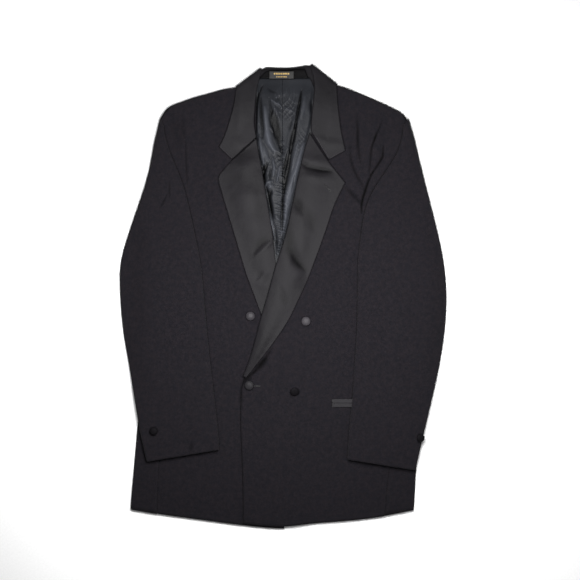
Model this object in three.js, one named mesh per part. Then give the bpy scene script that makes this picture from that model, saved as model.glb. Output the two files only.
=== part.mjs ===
import * as THREE from 'three';
import { mergeVertices } from 'three/addons/utils/BufferGeometryUtils.js';

// A double-breasted dinner jacket laid flat on its back, its sleeves folded over the fronts.
// Sizes are in millimetres. X runs across the jacket and Y from hem to collar, both from a point
// near the middle of the jacket, and Z is the height above the surface that it lies on.

// Driving dimensions

const WOOL = 2;
const SATIN = 1.6;
const SLEEVE_WOOL = 1.8;
const LINING = 1.2;
const SEAM = 0.3;
const LAYER_GAP = 0.6;

const FRONT_HEIGHT = 6;
const OVERLAP_RISE = WOOL + LAYER_GAP;
const LAPEL_RISE = SATIN + 2 * LAYER_GAP;
const ROLL_RADIUS = 2.4;
const ROLL_TURN = 105;
const NECK_TURN = 140;
const NECK_SEAM_Y = 381;
const FALL_LIFT = 2.3;

const PAD_AT_NECK = 1.5;
const PAD_AT_SHOULDER = 5.5;
const PAD_LENGTH = 75;
const SHOULDER_RETURN = 5;
const SHOULDER_ROUND = 0.6;
const SHOULDER_END_Y = 310;
const NECK_POINT_Y = 380;

const HEAD_HEIGHT = 14;
const HEAD_EDGE = 4.4;
const SLEEVE_HEIGHT = 7.1;
const SLEEVE_RETURN = 14;
const INNER_RETURN = 12;
const HEAD_CAVITY_TOP = 5.8;
const UNDERARM_Y = 98;
const SIDE_SEAM_TOP = 57;
const SLEEVE_CLEAR = 2;
const ARMHOLE_GAP = 1.3;
const V_BOTTOM_Y = 61;
const SIDE_FOLD_RADIUS = 3.4;
const BACK_SHOULDER_Y = 299;
const BACK_NECK_Y = 380.5;
const BACK_HEM_Y = -403;
const BACK_HEM_RISE = 3;
const PLEAT_X = -1;
const LAPEL_PUFF = 2.2;
const COLLAR_WALL = 1.8;
const COLLAR_EDGE_RADIUS = 4.5;

const BUTTON_DIAMETER = 16.5;
const SLEEVE_BUTTON_DIAMETER = 15;
const BUTTON_SHANK = 2.6;
const BUTTON_SHANK_HEIGHT = 1.6;
const BUTTON_DOME_HEIGHT = 4.6;
const POCKET_LENGTH = 116;
const JET_WIDTH = 7;
const JET_THICKNESS = 1;

const COLOURS = {
  wool: { color: 0x2b2930, roughness: 0.9, metalness: 0 },
  satin: { color: 0x3c3a40, roughness: 0.4, metalness: 0 },
  lining: { color: 0x323742, roughness: 0.35, metalness: 0 },
  button: { color: 0x504e52, roughness: 0.45, metalness: 0 },
  label: { color: 0x1d1a18, roughness: 0.8, metalness: 0 },
};

// Edges of the panels, read across the jacket at heights that run down it

const UNDER_FRONT = [
  { y: 385, outer: -213.5, inner: -44 },
  { y: 331, outer: -213.5, inner: -48 },
  { y: 304, outer: -214, inner: -49 },
  { y: 299, outer: -212, inner: -49.5 },
  { y: 284, outer: -208, inner: -47 },
  { y: 255, outer: -207, inner: -43 },
  { y: 225, outer: -199, inner: -37 },
  { y: 190, outer: -185, inner: -31.5 },
  { y: 150, outer: -175, inner: -24.5 },
  { y: 107, outer: -169, inner: -17.5 },
  { y: 80, outer: -174, inner: -15 },
  { y: 57, outer: -187, inner: -12 },
  { y: 10, outer: -192, inner: 5 },
  { y: -42, outer: -194, inner: 26 },
  { y: -120, outer: -200, inner: 35 },
  { y: -205, outer: -209, inner: 30 },
  { y: -290, outer: -217, inner: 19 },
  { y: -345, outer: -219.5, inner: 10 },
  { y: -406, outer: -220, inner: 2 },
];

const OVER_FRONT = [
  { y: 385, outer: 215.5, inner: 55.5 },
  { y: 331, outer: 215.5, inner: 52 },
  { y: 308, outer: 216.5, inner: 51 },
  { y: 303, outer: 214.5, inner: 50.7 },
  { y: 288, outer: 210, inner: 47 },
  { y: 255, outer: 209, inner: 37 },
  { y: 225, outer: 197, inner: 30 },
  { y: 190, outer: 172, inner: 22 },
  { y: 150, outer: 156, inner: 14 },
  { y: 107, outer: 160, inner: 4 },
  { y: 80, outer: 184, inner: -4 },
  { y: 57, outer: 207, inner: -12 },
  { y: 10, outer: 209, inner: -25 },
  { y: -42, outer: 210, inner: -40 },
  { y: -86, outer: 209, inner: -51 },
  { y: -120, outer: 207, inner: -62 },
  { y: -150, outer: 204, inner: -73 },
  { y: -205, outer: 199, inner: -74 },
  { y: -290, outer: 185, inner: -71 },
  { y: -345, outer: 181, inner: -69 },
  { y: -406, outer: 179, inner: -69 },
];

const UNDER_LAPEL = [
  { y: 207, edge: -115 },
  { y: 163, edge: -102 },
  { y: 110, edge: -86 },
  { y: 37, edge: -64 },
  { y: 5, edge: -52 },
  { y: -30, edge: -39 },
  { y: -61, edge: -26 },
];

const OVER_LAPEL = [
  { y: 198, edge: 109 },
  { y: 173, edge: 96 },
  { y: 149, edge: 86 },
  { y: 112, edge: 74 },
  { y: 44, edge: 49 },
  { y: 14, edge: 37 },
  { y: -12, edge: 24 },
  { y: -38, edge: 12 },
  { y: -79, edge: -15 },
  { y: -116, edge: -44 },
  { y: -143, edge: -65 },
];

// The inner edge of the under lapel where the other front hides it
const HIDDEN_LAPEL = [
  { y: 61, inner: -13.5 },
  { y: 23, inner: -4 },
  { y: -30, inner: -18 },
  { y: -61, inner: -26 },
];

const SIDE_LEFT = [
  { y: 57, seam: -187, foldY: 98, fold: -234 },
  { y: 10, seam: -192, foldY: 40, fold: -238 },
  { y: -42, seam: -194, foldY: -42, fold: -240 },
  { y: -120, seam: -200, foldY: -120, fold: -246 },
  { y: -205, seam: -209, foldY: -205, fold: -253 },
  { y: -290, seam: -217, foldY: -290, fold: -260 },
  { y: -345, seam: -219.5, foldY: -343, fold: -265 },
  { y: -381, seam: -220, foldY: -373, fold: -267 },
];

const SIDE_RIGHT = [
  { y: 57, seam: 207, foldY: 98, fold: 254 },
  { y: 10, seam: 209, foldY: 40, fold: 256 },
  { y: -42, seam: 210, foldY: -42, fold: 257 },
  { y: -120, seam: 207, foldY: -120, fold: 254 },
  { y: -205, seam: 199, foldY: -205, fold: 246 },
  { y: -290, seam: 187, foldY: -290, fold: 234 },
  { y: -345, seam: 181, foldY: -343, fold: 231 },
  { y: -384, seam: 178, foldY: -374, fold: 229 },
];

// The back panels stop short of the shoulders and the sleeves, which turn under to meet them
const BACK_ARMHOLE = [
  { y: 301, left: -198, right: 198 },
  { y: 264, left: -212, right: 214 },
  { y: 229, left: -219, right: 224 },
  { y: 186, left: -228, right: 236 },
  { y: 142, left: -233, right: 247 },
  { y: 98, left: -234, right: 254 },
];

const SHOULDER = [
  { x: -217, y: 302 },
  { x: -213, y: 314 },
  { x: -205, y: 326 },
  { x: -197, y: 333 },
  { x: -177, y: 339.5 },
  { x: -156, y: 347.5 },
  { x: -112, y: 359.2 },
  { x: -95, y: 364 },
  { x: -80, y: 364 },
  { x: -65, y: 371 },
  { x: -48, y: 382 },
  { x: 56, y: 388 },
  { x: 78, y: 373 },
  { x: 88, y: 368.6 },
  { x: 104, y: 366.4 },
  { x: 120, y: 360 },
  { x: 149, y: 348.2 },
  { x: 180, y: 334.5 },
  { x: 199, y: 325.5 },
  { x: 209, y: 319.5 },
  { x: 215.5, y: 312 },
  { x: 220, y: 302 },
];

const HEM = [
  { x: -267, y: -373 },
  { x: -212, y: -381.5 },
  { x: -135, y: -392 },
  { x: -70, y: -400.5 },
  { x: 2, y: -406 },
  { x: 35, y: -399 },
  { x: 122, y: -392 },
  { x: 175, y: -385 },
  { x: 229, y: -374 },
];

const SLEEVE_LEFT = [
  { y: 302, outer: -216.4, inner: -208 },
  { y: 287, outer: -220.4, inner: -208 },
  { y: 273, outer: -225, inner: -204.5 },
  { y: 257, outer: -227.8, inner: -200 },
  { y: 226, outer: -232.8, inner: -187 },
  { y: 191, outer: -242, inner: -173 },
  { y: 150, outer: -256, inner: -163 },
  { y: 110, outer: -269.8, inner: -154 },
  { y: 60, outer: -284, inner: -144 },
  { y: 10, outer: -285.2, inner: -138.5 },
  { y: -65, outer: -279, inner: -132 },
  { y: -130, outer: -267.4, inner: -125 },
  { y: -200, outer: -255.8, inner: -117 },
  { y: -245, outer: -248, inner: -112 },
  { y: -289, outer: -238, inner: -111 },
];

const SLEEVE_RIGHT = [
  { y: 306, outer: 220.4, inner: 210.5 },
  { y: 288, outer: 227.4, inner: 210.5 },
  { y: 272, outer: 230.6, inner: 207 },
  { y: 257, outer: 234.2, inner: 204 },
  { y: 226, outer: 241.8, inner: 185 },
  { y: 191, outer: 250.4, inner: 161 },
  { y: 159, outer: 258.7, inner: 145 },
  { y: 114, outer: 269.7, inner: 137 },
  { y: 68, outer: 279.9, inner: 131 },
  { y: 10, outer: 285.9, inner: 130 },
  { y: -51, outer: 283.8, inner: 129 },
  { y: -114, outer: 274.7, inner: 125 },
  { y: -178, outer: 260.4, inner: 121 },
  { y: -234, outer: 247, inner: 115 },
  { y: -304, outer: 231, inner: 111 },
];

const LINING_EDGES = [
  { y: 380, left: -45, right: 47 },
  { y: 340, left: -58, right: 62 },
  { y: 280, left: -60, right: 57 },
  { y: 230, left: -48, right: 42 },
  { y: 190, left: -41, right: 33 },
  { y: 150, left: -34, right: 26 },
  { y: 107, left: -28, right: 18 },
  { y: 61, left: -25, right: 14 },
  { y: 35, left: -24, right: 12 },
];

// Sections of the collar, from its crease over its middle to its free edge
const COLLAR_LEFT = [
  { creaseX: -48, creaseY: 276.6, midX: -89.6, midY: 238.8, edgeX: -112, edgeY: 260 },
  { creaseX: -52, creaseY: 300, midX: -79, midY: 279, edgeX: -100, edgeY: 284 },
  { creaseX: -50.5, creaseY: 331, midX: -68, midY: 326, edgeX: -86, edgeY: 331 },
  { creaseX: -47.5, creaseY: 362, midX: -65, midY: 357, edgeX: -83, edgeY: 352 },
  { creaseX: -38.5, creaseY: 394.6, midX: -59, midY: 378.8, edgeX: -80.8, edgeY: 362.6 },
];

const COLLAR_BACK = [
  { creaseX: -38.5, creaseY: 394.6, midX: -59, midY: 378.8, edgeX: -80.8, edgeY: 362.6 },
  { creaseX: -30, creaseY: 398.6, midX: -45, midY: 377, edgeX: -60, edgeY: 355 },
  { creaseX: -14, creaseY: 397.5, midX: -20, midY: 375, edgeX: -27, edgeY: 351 },
  { creaseX: 5, creaseY: 397.1, midX: 5, midY: 374, edgeX: 5, edgeY: 350 },
  { creaseX: 24, creaseY: 398.6, midX: 30, midY: 376, edgeX: 37, edgeY: 352 },
  { creaseX: 40, creaseY: 401.6, midX: 54, midY: 380, edgeX: 69, edgeY: 358 },
  { creaseX: 49.5, creaseY: 401.6, midX: 70, midY: 385.2, edgeX: 93.2, edgeY: 366.8 },
];

const COLLAR_RIGHT = [
  { creaseX: 49.5, creaseY: 401.6, midX: 70, midY: 385.2, edgeX: 93.2, edgeY: 366.8 },
  { creaseX: 57, creaseY: 370, midX: 75, midY: 364, edgeX: 94, edgeY: 358 },
  { creaseX: 54.7, creaseY: 338, midX: 75, midY: 333, edgeX: 95, edgeY: 338 },
  { creaseX: 50.5, creaseY: 302, midX: 76, midY: 283, edgeX: 101, edgeY: 290 },
  { creaseX: 50.5, creaseY: 286, midX: 80, midY: 238, edgeX: 109, edgeY: 254 },
];

// Folds that stand up from a panel, each along a straight line
const FRONT_FOLDS = [
  { fromX: -173, fromY: 299, toX: -169, toY: 191, width: 16, height: 1.6 },
  { fromX: 172, fromY: 312, toX: 152, toY: 250, width: 20, height: 2.6 },
  { fromX: 152, fromY: 250, toX: 139, toY: 168, width: 18, height: 2.6 },
  { fromX: 117, fromY: 235, toX: 136, toY: 190, width: 15, height: 1.4 },
];

const LINING_FOLDS = [
  { fromX: 34, fromY: 355, toX: 22, toY: 292, width: 11, height: 2.2 },
  { fromX: 22, fromY: 292, toX: 4, toY: 232, width: 11, height: 2.4 },
  { fromX: 4, fromY: 232, toX: 5, toY: 140, width: 10, height: 1.8 },
  { fromX: -18, fromY: 345, toX: -9, toY: 262, width: 10, height: 1.6 },
  { fromX: -40, fromY: 250, toX: -16, toY: 190, width: 9, height: 1.2 },
  { fromX: -28, fromY: 190, toX: -10, toY: 130, width: 9, height: 1.2 },
];

const FRONT_BUTTONS = [
  { name: 'front_button_upper_right_side', x: -57, y: -35, front: 'under', tilt: 0 },
  { name: 'front_button_upper_left_side', x: 40, y: -44, front: 'over', tilt: 0 },
  { name: 'front_button_lower_right_side', x: -59, y: -156, front: 'over', tilt: 0 },
  { name: 'front_button_lower_left_side', x: 20, y: -166, front: 'over', tilt: 18 },
];

const SLEEVE_BUTTONS = [
  { name: 'sleeve_button_right', x: -225, y: -235, turn: 0 },
  { name: 'sleeve_button_left', x: 238, y: -247, turn: 12 },
];

const POCKETS = [
  { name: 'left', from: 85, y: -187 },
  { name: 'right', from: -126 - POCKET_LENGTH, y: -187 },
];

// Small helpers

const { clamp, lerp, smoothstep, degToRad } = THREE.MathUtils;

// Reads one column of a table at a place between its rows, on a smooth curve through them.
function read(table, column, place, key = 'y') {
  const last = table.length - 1;
  const falls = table[last][key] < table[0][key];
  const past = table.findIndex((row) => (falls ? row[key] <= place : row[key] >= place));
  const index = clamp((past < 0 ? last : past) - 1, 0, last - 1);
  const slope = (i) => {
    const from = table[Math.max(i - 1, 0)];
    const to = table[Math.min(i + 1, last)];
    return (to[column] - from[column]) / (to[key] - from[key]);
  };
  const a = table[index];
  const b = table[index + 1];
  const span = b[key] - a[key];
  const f = clamp((place - a[key]) / span, 0, 1);
  const f2 = f * f;
  const f3 = f2 * f;
  return (2 * f3 - 3 * f2 + 1) * a[column] + (f3 - 2 * f2 + f) * span * slope(index)
    + (3 * f2 - 2 * f3) * b[column] + (f3 - f2) * span * slope(index + 1);
}

// Evenly spaced fractions from 0 to 1, both included.
function steps(count) {
  return Array.from({ length: count + 1 }, (unused, i) => i / count);
}

// How far a point is raised by a table of folds.
function foldRise(folds, x, y) {
  return folds.reduce((sum, fold) => {
    const alongX = fold.toX - fold.fromX;
    const alongY = fold.toY - fold.fromY;
    const length2 = alongX * alongX + alongY * alongY;
    const f = clamp(((x - fold.fromX) * alongX + (y - fold.fromY) * alongY) / length2, 0, 1);
    const away = Math.hypot(x - fold.fromX - f * alongX, y - fold.fromY - f * alongY);
    const shape = 1 - smoothstep(away, 0, fold.width);
    return sum + fold.height * shape;
  }, 0);
}

// Heights of the layers above the table

// The collar's fall lies under the back of the neck and lifts what is above it.
function lift(x, y) {
  const across = 1 - smoothstep(Math.abs(x - 6), 90, 140);
  return FALL_LIFT * across * smoothstep(y, 240, 345);
}

function padding(x, y) {
  const below = Math.max(read(SHOULDER, 'y', x, 'x') - y, 0);
  const deep = PAD_AT_NECK + (PAD_AT_SHOULDER - PAD_AT_NECK) * smoothstep(Math.abs(x), 70, 150);
  return deep * Math.exp(-((below / PAD_LENGTH) ** 2));
}

function frontTop(x, y) {
  return FRONT_HEIGHT + lift(x, y) + padding(x, y) + foldRise(FRONT_FOLDS, x, y);
}

// The upper front steps down past the edge of the front below it, and rises over the hidden lapel.
function overTop(x, y) {
  const edge = read(UNDER_FRONT, 'inner', y);
  const overlap = 1 - smoothstep(x, edge + 24, edge + 46);
  const hidden = read(HIDDEN_LAPEL, 'inner', y);
  const lapel = (1 - smoothstep(x, hidden + 24, hidden + 50)) * smoothstep(y, -180, -100);
  return frontTop(x, y) + OVERLAP_RISE * overlap + LAPEL_RISE * lapel * overlap;
}

const sideOf = (x) => (x < 0 ? SIDE_LEFT : SIDE_RIGHT);

// What a sleeve lies on: the fronts, and the table beyond the side folds.
function sleeveGround(x, y) {
  const outside = Math.abs(x) - Math.abs(read(sideOf(x), 'fold', y));
  const clear = lerp(SLEEVE_CLEAR, ARMHOLE_GAP, smoothstep(y, 60, 150));
  return (frontTop(x, y) + clear) * (1 - smoothstep(outside, 2, 28));
}

// Walls

// The outward direction at a point of a grid, from its neighbours.
function normalAt(grid, i, j) {
  const rows = grid.length - 1;
  const columns = grid[0].length - 1;
  const down = grid[Math.min(i + 1, rows)][j].clone().sub(grid[Math.max(i - 1, 0)][j]);
  const across = grid[i][Math.min(j + 1, columns)].clone().sub(grid[i][Math.max(j - 1, 0)]);
  return down.cross(across).normalize();
}

// A closed wall between a grid of skin points and the same points moved inwards.
function wall(skin, thickness) {
  const depth = typeof thickness === 'number' ? () => thickness : thickness;
  const inside = skin.map((line, i) => line.map((point, j) => (
    point.clone().addScaledVector(normalAt(skin, i, j), -depth(i, j)))));
  const rows = skin.length;
  const columns = skin[0].length;
  const points = [...skin.flat(), ...inside.flat()];
  const outer = (i, j) => i * columns + j;
  const inner = (i, j) => rows * columns + i * columns + j;
  const faces = [];
  const quad = (a, b, c, d) => faces.push(a, b, c, a, c, d);
  for (let i = 0; i < rows - 1; i += 1) {
    for (let j = 0; j < columns - 1; j += 1) {
      quad(outer(i, j), outer(i + 1, j), outer(i + 1, j + 1), outer(i, j + 1));
      quad(inner(i, j), inner(i, j + 1), inner(i + 1, j + 1), inner(i + 1, j));
    }
    quad(outer(i, 0), inner(i, 0), inner(i + 1, 0), outer(i + 1, 0));
    const end = columns - 1;
    quad(outer(i, end), outer(i + 1, end), inner(i + 1, end), inner(i, end));
  }
  for (let j = 0; j < columns - 1; j += 1) {
    quad(outer(0, j), outer(0, j + 1), inner(0, j + 1), inner(0, j));
    const end = rows - 1;
    quad(outer(end, j), inner(end, j), inner(end, j + 1), outer(end, j + 1));
  }
  const geometry = new THREE.BufferGeometry();
  geometry.setAttribute('position', new THREE.Float32BufferAttribute(
    points.flatMap((point) => point.toArray()), 3));
  geometry.setIndex(faces);
  return geometry;
}

// A grid whose columns ran from right to left is turned, so that its skin faces outwards.
function facingOut(grid, side) {
  return side === 'left' ? grid : grid.map((line) => [...line].reverse());
}

const jacket = new THREE.Group();

function add(name, geometry, finish) {
  const mesh = new THREE.Mesh(geometry, new THREE.MeshStandardMaterial(COLOURS[finish]));
  mesh.name = name;
  jacket.add(mesh);
  return mesh;
}

// Fronts

// Rows down a panel as fractions, with one exactly where its armhole meets its side seam.
function rowsWithSeam(count, top, hem) {
  const seam = (top - SIDE_SEAM_TOP) / (top - hem);
  const rows = steps(count);
  rows[Math.round(seam * count)] = seam;
  return rows;
}

const FRONTS = {
  left: { table: UNDER_FRONT, sides: SIDE_LEFT, out: -1, top: frontTop, lapelEnd: 61, innerHem: -406 },
  right: { table: OVER_FRONT, sides: SIDE_RIGHT, out: 1, top: overTop, lapelEnd: -143, innerHem: -403 },
};

// A front runs from its hem up over the padded shoulder and turns under to the back.
function front(side) {
  const { table, sides, out, top, lapelEnd, innerHem } = FRONTS[side];
  const outerHem = sides[sides.length - 1].y;
  const seamTurn = 2 * ROLL_RADIUS;

  // The inner edge lies inside the roll of the lapel, and is bare below it.
  const innerX = (y) => {
    const covered = smoothstep(y, lapelEnd - 25, lapelEnd);
    return read(table, 'inner', y) + out * seamTurn * covered;
  };
  const outerX = (y) => (y > SIDE_SEAM_TOP ? read(table, 'outer', y) : read(sides, 'seam', y))
    - out * SEAM;

  const across = [0, 0.045, ...steps(10).slice(1)];
  const shoulderPlace = (s) => {
    const x = lerp(outerX(SHOULDER_END_Y), innerX(NECK_POINT_Y), s);
    const slope = (read(SHOULDER, 'y', x + 1, 'x') - read(SHOULDER, 'y', x - 1, 'x')) / 2;
    const away = new THREE.Vector3(-slope, 1, 0).normalize();
    const edge = new THREE.Vector3(x, read(SHOULDER, 'y', x, 'x'), 0);
    const radius = SHOULDER_ROUND * (top(x, edge.y) - lift(x, edge.y));
    const base = edge.addScaledVector(away, -radius);
    return { base, away, radius };
  };
  const places = across.map(shoulderPlace);
  const outerTop = places[0].base.y;
  const innerTop = places[places.length - 1].base.y;
  const down = rowsWithSeam(19, outerTop, outerHem);

  const columns = across.map((s, j) => {
    const { base, away, radius } = places[j];
    const low = lift(base.x, base.y);
    const high = top(base.x, base.y);
    const turned = [
      base.clone().addScaledVector(away, -SHOULDER_RETURN).setZ(low),
      base.clone().setZ(low),
    ];
    for (const angle of [40, 80, 120, 155]) {
      const turn = degToRad(angle);
      const point = base.clone().addScaledVector(away, radius * Math.sin(turn));
      turned.push(point.setZ((low + high) / 2 - (high - low) / 2 * Math.cos(turn)));
    }
    const topChord = new THREE.Vector3(lerp(places[0].base.x, places[across.length - 1].base.x, s),
      lerp(outerTop, innerTop, s), 0);
    const flat = down.map((t) => {
      const outerY = lerp(outerTop, outerHem, t);
      const innerY = lerp(innerTop, innerHem, t);
      const x = lerp(outerX(outerY), innerX(innerY), s) + (base.x - topChord.x) * (1 - t) ** 8;
      const hemRise = side === 'left' ? 0 : BACK_HEM_RISE * (1 - smoothstep(x, 5, 30));
      const hemShift = read(HEM, 'y', x, 'x') + hemRise - lerp(outerHem, innerHem, s);
      const y = lerp(outerY, innerY, s) + (base.y - topChord.y) * (1 - t) ** 4 + hemShift * t ** 6;
      return new THREE.Vector3(x, y, top(x, y));
    });
    return [...turned, ...flat];
  });

  const grid = columns[0].map((unused, i) => columns.map((column) => column[i]));
  const turnedRows = grid.length - down.length;
  const facing = facingOut(grid, side);
  return wall(facing, (i, j) => {
    const pad = 0.8 * padding(facing[i][j].x, facing[i][j].y);
    return WOOL + pad * smoothstep(i, turnedRows - 3, turnedRows + 1);
  });
}

add('front_right', front('left'), 'wool');
add('front_left', front('right'), 'wool');

// Side panels wrap round the side folds

function sidePanel(table, side) {
  const down = steps(13);
  const half = FRONT_HEIGHT / 2;
  const grid = down.map((t) => {
    const place = lerp(table[0].y, table[table.length - 1].y, t);
    const seam = new THREE.Vector3(read(table, 'seam', place), place, 0);
    const fold = new THREE.Vector3(read(table, 'fold', place), read(table, 'foldY', place), 0);
    const line = [];
    const between = (f, z) => line.push(seam.clone().lerp(fold, f).setZ(z));
    const turn = SIDE_FOLD_RADIUS / Math.abs(fold.x - seam.x);
    for (const f of [0, 0.5, 1]) {
      between(f * (1 - turn), 0);
    }
    for (const angle of [45, 90, 135]) {
      const bend = degToRad(angle);
      between(1 - turn + turn * Math.sin(bend), half - half * Math.cos(bend));
    }
    for (const f of [1, 0.5, 0]) {
      between(f * (1 - turn), FRONT_HEIGHT);
    }
    return line;
  });
  return wall(facingOut(grid, side), WOOL);
}

add('side_panel_right', sidePanel(SIDE_LEFT, 'left'), 'wool');
add('side_panel_left', sidePanel(SIDE_RIGHT, 'right'), 'wool');

// Back panels, joined by the centre seam

const BACK_TOP = [
  { x: 0, y: 380.5 },
  { x: 20, y: 379 },
  { x: 50, y: 363 },
  { x: 80, y: 346 },
  { x: 103, y: 344 },
  { x: 156, y: 331 },
  { x: 198, y: 299 },
];

function backPanel(side) {
  const out = side === 'left' ? -1 : 1;
  const sides = side === 'left' ? SIDE_LEFT : SIDE_RIGHT;
  const outerHem = sides[sides.length - 1].y;
  const outerX = (y) => {
    if (y <= SIDE_SEAM_TOP) {
      return read(sides, 'seam', y) - out * LAYER_GAP;
    }
    const underarm = read(BACK_ARMHOLE, side, Math.max(y, UNDERARM_Y));
    const reach = clamp((y - SIDE_SEAM_TOP) / (UNDERARM_Y - SIDE_SEAM_TOP), 0, 1);
    return lerp(sides[0].seam, underarm, reach) - out * LAYER_GAP;
  };
  const across = steps(8);
  const down = rowsWithSeam(15, BACK_SHOULDER_Y, outerHem + BACK_HEM_RISE);
  const grid = down.map((t) => across.map((s) => {
    const outerY = lerp(BACK_SHOULDER_Y, outerHem + BACK_HEM_RISE, t);
    const innerY = lerp(BACK_NECK_Y, BACK_HEM_Y + BACK_HEM_RISE, t);
    const x = lerp(outerX(outerY), out * SEAM / 2, s);
    const upper = read(BACK_TOP, 'y', Math.abs(x), 'x') - lerp(BACK_SHOULDER_Y, BACK_NECK_Y, s);
    const lower = read(HEM, 'y', x, 'x') - lerp(outerHem, BACK_HEM_Y, s);
    const y = lerp(outerY, innerY, s) + upper * (1 - t) ** 4 + lower * t ** 6;
    return new THREE.Vector3(x, y, lift(x, y) + WOOL);
  }));
  return wall(facingOut(grid, side), WOOL);
}

add('back_right', backPanel('left'), 'wool');
add('back_left', backPanel('right'), 'wool');

// Lining of the back, seen in the opening of the fronts, with a pleat down its middle

function backLining(side) {
  const out = side === 'left' ? -1 : 1;
  const grid = steps(18).map((t) => steps(8).map((s) => {
    const y = lerp(LINING_EDGES[0].y, LINING_EDGES[LINING_EDGES.length - 1].y, t);
    const edge = read(LINING_EDGES, side, y);
    const x = lerp(edge, PLEAT_X + out * SEAM / 2, s);
    const roll = read(side === 'left' ? UNDER_FRONT : OVER_FRONT, 'inner', y);
    const shows = smoothstep((roll - x) * out, 1, 9) * smoothstep(y, 50, 90);
    const rise = foldRise(LINING_FOLDS, x, y) * shows * (1 - smoothstep(y, 350, 372));
    return new THREE.Vector3(x, y, lift(x, y) + WOOL + LAYER_GAP + LINING + rise);
  }));
  return wall(facingOut(grid, side), LINING);
}

add('back_lining_right', backLining('left'), 'lining');
add('back_lining_left', backLining('right'), 'lining');

// Lapels

const LAPELS = {
  left: { edge: UNDER_LAPEL, gorge: 275.2, point: 207, innerEnd: 23, outerEnd: -61, notch: 0.67, bend: 4.4 },
  right: { edge: OVER_LAPEL, gorge: 285, point: 198, innerEnd: -140, outerEnd: -143, notch: 0.5, bend: -4.2 },
};

// A lapel lies on its front, stands a little away from it near the roll line, and rolls round it.
function lapel(side) {
  const { table, top } = FRONTS[side];
  const cut = LAPELS[side];
  const hidden = (x, y) => (side === 'left' ? smoothstep(y - x, -60, 60) : 1);
  const grid = steps(21).map((t) => {
    const innerY = lerp(cut.gorge, cut.innerEnd, t);
    const outerY = lerp(cut.point, cut.outerEnd, t);
    const roll = side === 'left' && innerY < V_BOTTOM_Y
      ? read(HIDDEN_LAPEL, 'inner', innerY)
      : read(table, 'inner', innerY);
    const start = new THREE.Vector3(roll, innerY, 0);
    const end = new THREE.Vector3(read(cut.edge, 'edge', outerY), outerY, 0);
    const away = end.clone().sub(start).normalize();
    start.addScaledVector(away, ROLL_RADIUS);
    const skin = (s) => {
      const bend = cut.bend * Math.min(s / cut.notch, (1 - s) / (1 - cut.notch)) * (1 - t) ** 8;
      const point = start.clone().lerp(end, s);
      point.y += bend;
      const puff = LAPEL_PUFF * Math.sin(Math.PI * Math.min(1, s / 0.8)) * smoothstep(t, 0, 0.15)
        * (1 - smoothstep(t, 0.8, 1)) * hidden(point.x, point.y);
      return point.setZ(top(point.x, point.y) + LAYER_GAP + SATIN + puff);
    };
    const first = skin(0);
    const rolled = side === 'left' ? clamp(smoothstep(innerY, V_BOTTOM_Y, 82), 0.2, 1) : 1;
    const turned = [1, 0.66, 0.33].map((f) => {
      const turn = degToRad(ROLL_TURN * f * rolled);
      const point = first.clone().addScaledVector(away, -ROLL_RADIUS * Math.sin(turn));
      return point.setZ(first.z - ROLL_RADIUS * (1 - Math.cos(turn)));
    });
    return [...turned, ...steps(6).map(skin)].reverse();
  });
  return wall(facingOut(grid, side), SATIN);
}

add('lapel_right', lapel('left'), 'satin');
add('lapel_left', lapel('right'), 'satin');

// Collar

// The collar lies on both fronts, folds round the neck at its sides and runs on under the back.
function collar() {
  const across = steps(4);
  const place = (row, v) => {
    const crease = new THREE.Vector3(row.creaseX, row.creaseY, 0);
    const mid = new THREE.Vector3(row.midX, row.midY, 0);
    const edge = new THREE.Vector3(row.edgeX, row.edgeY, 0);
    return v < 0.5 ? crease.lerp(mid, v * 2) : mid.lerp(edge, v * 2 - 1);
  };
  const between = (table, t) => {
    const indexed = table.map((row, index) => ({ ...row, index }));
    const at = t * (table.length - 1);
    const row = {};
    for (const column of ['creaseX', 'creaseY', 'midX', 'midY', 'edgeX', 'edgeY']) {
      row[column] = read(indexed, column, at, 'index');
    }
    return row;
  };
  const line = (row, turn, foldAway) => {
    const angle = degToRad(turn);
    const skin = across.map((v) => {
      const point = place(row, v);
      const side = point.x < 6 ? frontTop : overTop;
      const high = side(point.x, Math.min(point.y, 372)) + LAYER_GAP + COLLAR_WALL;
      point.addScaledVector(foldAway, COLLAR_EDGE_RADIUS * Math.sin(angle));
      return point.setZ(high / 2 + high / 2 * Math.cos(angle));
    });
    const away = place(row, 0.5).sub(place(row, 0)).normalize();
    const outward = foldAway.clone().multiplyScalar(Math.sin(angle));
    outward.z = Math.cos(angle);
    const full = lerp(ROLL_TURN, NECK_TURN, turn / 180);
    const curl = [1, 0.66, 0.33].map((f) => {
      const bend = degToRad(full * f);
      return skin[0].clone()
        .addScaledVector(away, -ROLL_RADIUS * Math.sin(bend))
        .addScaledVector(outward, ROLL_RADIUS * (Math.cos(bend) - 1));
    });
    return [...curl, ...skin];
  };
  const leftAway = new THREE.Vector3(-0.6, 0.8, 0);
  const rightAway = new THREE.Vector3(0.62, 0.78, 0);
  const corner = COLLAR_LEFT[COLLAR_LEFT.length - 1];
  const lines = [];
  for (const t of steps(9)) {
    lines.push(line(between(COLLAR_LEFT, t), 0, leftAway));
  }
  for (const turn of [45, 90, 135]) {
    lines.push(line(corner, turn, leftAway));
  }
  for (const t of steps(10)) {
    lines.push(line(between(COLLAR_BACK, t), 180, t < 0.5 ? leftAway : rightAway));
  }
  for (const turn of [135, 90, 45]) {
    lines.push(line(COLLAR_RIGHT[0], turn, rightAway));
  }
  for (const t of steps(9)) {
    lines.push(line(between(COLLAR_RIGHT, t), 0, rightAway));
  }
  return wall(lines, COLLAR_WALL);
}

add('collar', collar(), 'satin');

// Collar stand and label

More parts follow.
